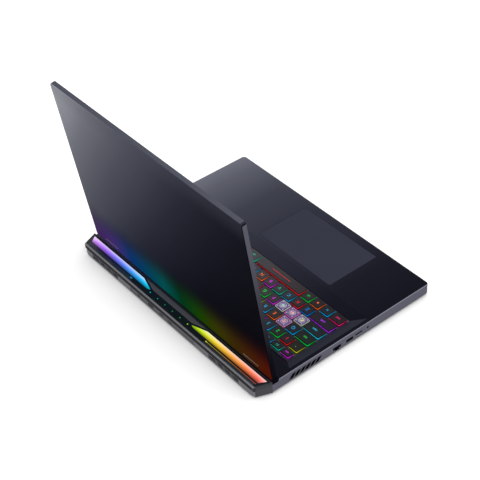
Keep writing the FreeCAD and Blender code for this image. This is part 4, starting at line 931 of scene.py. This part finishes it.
def build_vent_screens():
    """Black slatted screens right behind the side vents, standing in for the shade inside them."""
    y0 = 45.0 * MM
    y1 = 105.0 * MM
    foot = VENT_FOOT - 1.0
    head = VENT_HEAD + 0.8
    pitch = 1.2
    bulge = 0.3 * MM
    proud = 0.05 * MM
    bm = bmesh.new()
    for side in (-1, 1):
        x0, x1 = sorted((side * (SIDE_X - 2.5) * MM, side * (SIDE_X - 1.9) * MM))
        sheet = [(x0, y0), (x1, y0), (x1, y1), (x0, y1)]
        slat = [(x0 - bulge, y0), (x1 + proud, y0), (x1 + proud, y1), (x0 - bulge, y1)]
        levels = []
        for index in range(int((head - foot) / pitch)):
            z = (foot + index * pitch) * MM
            levels += [(sheet, z), (slat, z + 0.3 * MM), (slat, z + 0.6 * MM), (sheet, z + 0.9 * MM)]
        stack(bm, levels, [0] * len(levels))
    piece("vent_screens", bm, "base", (shade_black,))


build_vent_screens()
build_ribs()
build_centre_facet()
build_centre_seam()
build_screw_stars()


# Floor, light and camera

def background_rays(tree):
    """1 for rays that look at the background, in the picture, in a mirror or through glass."""
    path = tree.nodes.new("ShaderNodeLightPath")
    seen = path.outputs["Is Camera Ray"]
    for name in ("Is Glossy Ray", "Is Transmission Ray"):
        most = tree.nodes.new("ShaderNodeMath")
        most.operation = "MAXIMUM"
        tree.links.new(seen, most.inputs[0])
        tree.links.new(path.outputs[name], most.inputs[1])
        seen = most.outputs[0]
    return seen


def build_world():
    world = bpy.data.worlds.new("studio")
    bpy.context.scene.world = world
    world.use_nodes = True
    tree = world.node_tree
    tree.nodes.clear()
    ambient = tree.nodes.new("ShaderNodeBackground")
    ambient.inputs["Color"].default_value = (1.0, 1.0, 1.0, 1.0)
    ambient.inputs["Strength"].default_value = AMBIENT
    white = tree.nodes.new("ShaderNodeBackground")
    white.inputs["Color"].default_value = (1.0, 1.0, 1.0, 1.0)
    white.inputs["Strength"].default_value = 1.0
    choose = tree.nodes.new("ShaderNodeMixShader")
    output = tree.nodes.new("ShaderNodeOutputWorld")
    tree.links.new(background_rays(tree), choose.inputs[0])
    tree.links.new(ambient.outputs[0], choose.inputs[1])
    tree.links.new(white.outputs[0], choose.inputs[2])
    tree.links.new(choose.outputs[0], output.inputs["Surface"])


def build_floor():
    bm = bmesh.new()
    bmesh.ops.create_grid(bm, x_segments=8, y_segments=8, size=4.0)
    mesh = bpy.data.meshes.new("floor")
    bm.to_mesh(mesh)
    bm.free()
    floor = bpy.data.objects.new("floor", mesh)
    bpy.context.scene.collection.objects.link(floor)
    material = bpy.data.materials.new("floor")
    material.use_nodes = True
    tree = material.node_tree
    tree.nodes.clear()
    matt = tree.nodes.new("ShaderNodeBsdfDiffuse")
    matt.inputs["Color"].default_value = (FLOOR_ALBEDO, FLOOR_ALBEDO, FLOOR_ALBEDO, 1.0)
    bright = tree.nodes.new("ShaderNodeEmission")
    level = tree.nodes.new("ShaderNodeMath")
    level.operation = "MULTIPLY"
    level.inputs[1].default_value = FLOOR_WHITE
    both = tree.nodes.new("ShaderNodeAddShader")
    output = tree.nodes.new("ShaderNodeOutputMaterial")
    open_sky = tree.nodes.new("ShaderNodeAmbientOcclusion")
    open_sky.inputs["Distance"].default_value = SHADOW_REACH
    shade = tree.nodes.new("ShaderNodeMath")
    shade.operation = "MULTIPLY"
    tree.links.new(open_sky.outputs["AO"], shade.inputs[0])
    tree.links.new(background_rays(tree), shade.inputs[1])
    tree.links.new(shade.outputs[0], level.inputs[0])
    tree.links.new(level.outputs[0], bright.inputs["Strength"])
    tree.links.new(matt.outputs[0], both.inputs[0])
    tree.links.new(bright.outputs[0], both.inputs[1])
    tree.links.new(both.outputs[0], output.inputs["Surface"])
    mesh.materials.append(material)


def add_lamp(name, place, size, watts):
    """A soft square lamp that shines at the middle of the laptop."""
    light = bpy.data.lights.new(name, "AREA")
    light.shape = "SQUARE"
    light.size = size
    light.energy = watts
    lamp = bpy.data.objects.new(name, light)
    lamp.location = place
    lamp.rotation_euler = (Vector((0.0, 0.0, 0.05)) - Vector(place)).to_track_quat("-Z", "Y").to_euler()
    bpy.context.scene.collection.objects.link(lamp)


def add_camera():
    look = Vector((math.cos(CAMERA_PITCH) * math.sin(CAMERA_YAW),
                   math.cos(CAMERA_PITCH) * math.cos(CAMERA_YAW), -math.sin(CAMERA_PITCH)))
    level_right = look.cross(Vector((0.0, 0.0, 1.0))).normalized()
    level_up = level_right.cross(look)
    turn = Matrix.Rotation(CAMERA_ROLL, 3, -look)
    right = turn @ level_right
    up = turn @ level_up
    data = bpy.data.cameras.new("camera")
    data.sensor_width = SENSOR_WIDTH
    data.lens = SENSOR_WIDTH * FOCAL_PIXELS / IMAGE_PIXELS
    camera = bpy.data.objects.new("camera", data)
    rotation = Matrix((right, up, -look)).transposed().to_4x4()
    camera.matrix_world = Matrix.Translation(CAMERA_PLACE) @ rotation
    bpy.context.scene.collection.objects.link(camera)
    bpy.context.scene.camera = camera


build_world()
build_floor()
add_lamp("top_light", (-0.35, -0.1, 1.5), 1.4, 9.0)
add_lamp("left_light", (-1.5, 0.3, 0.7), 1.0, 4.0)
add_camera()
bpy.context.scene.view_settings.view_transform = "Standard"
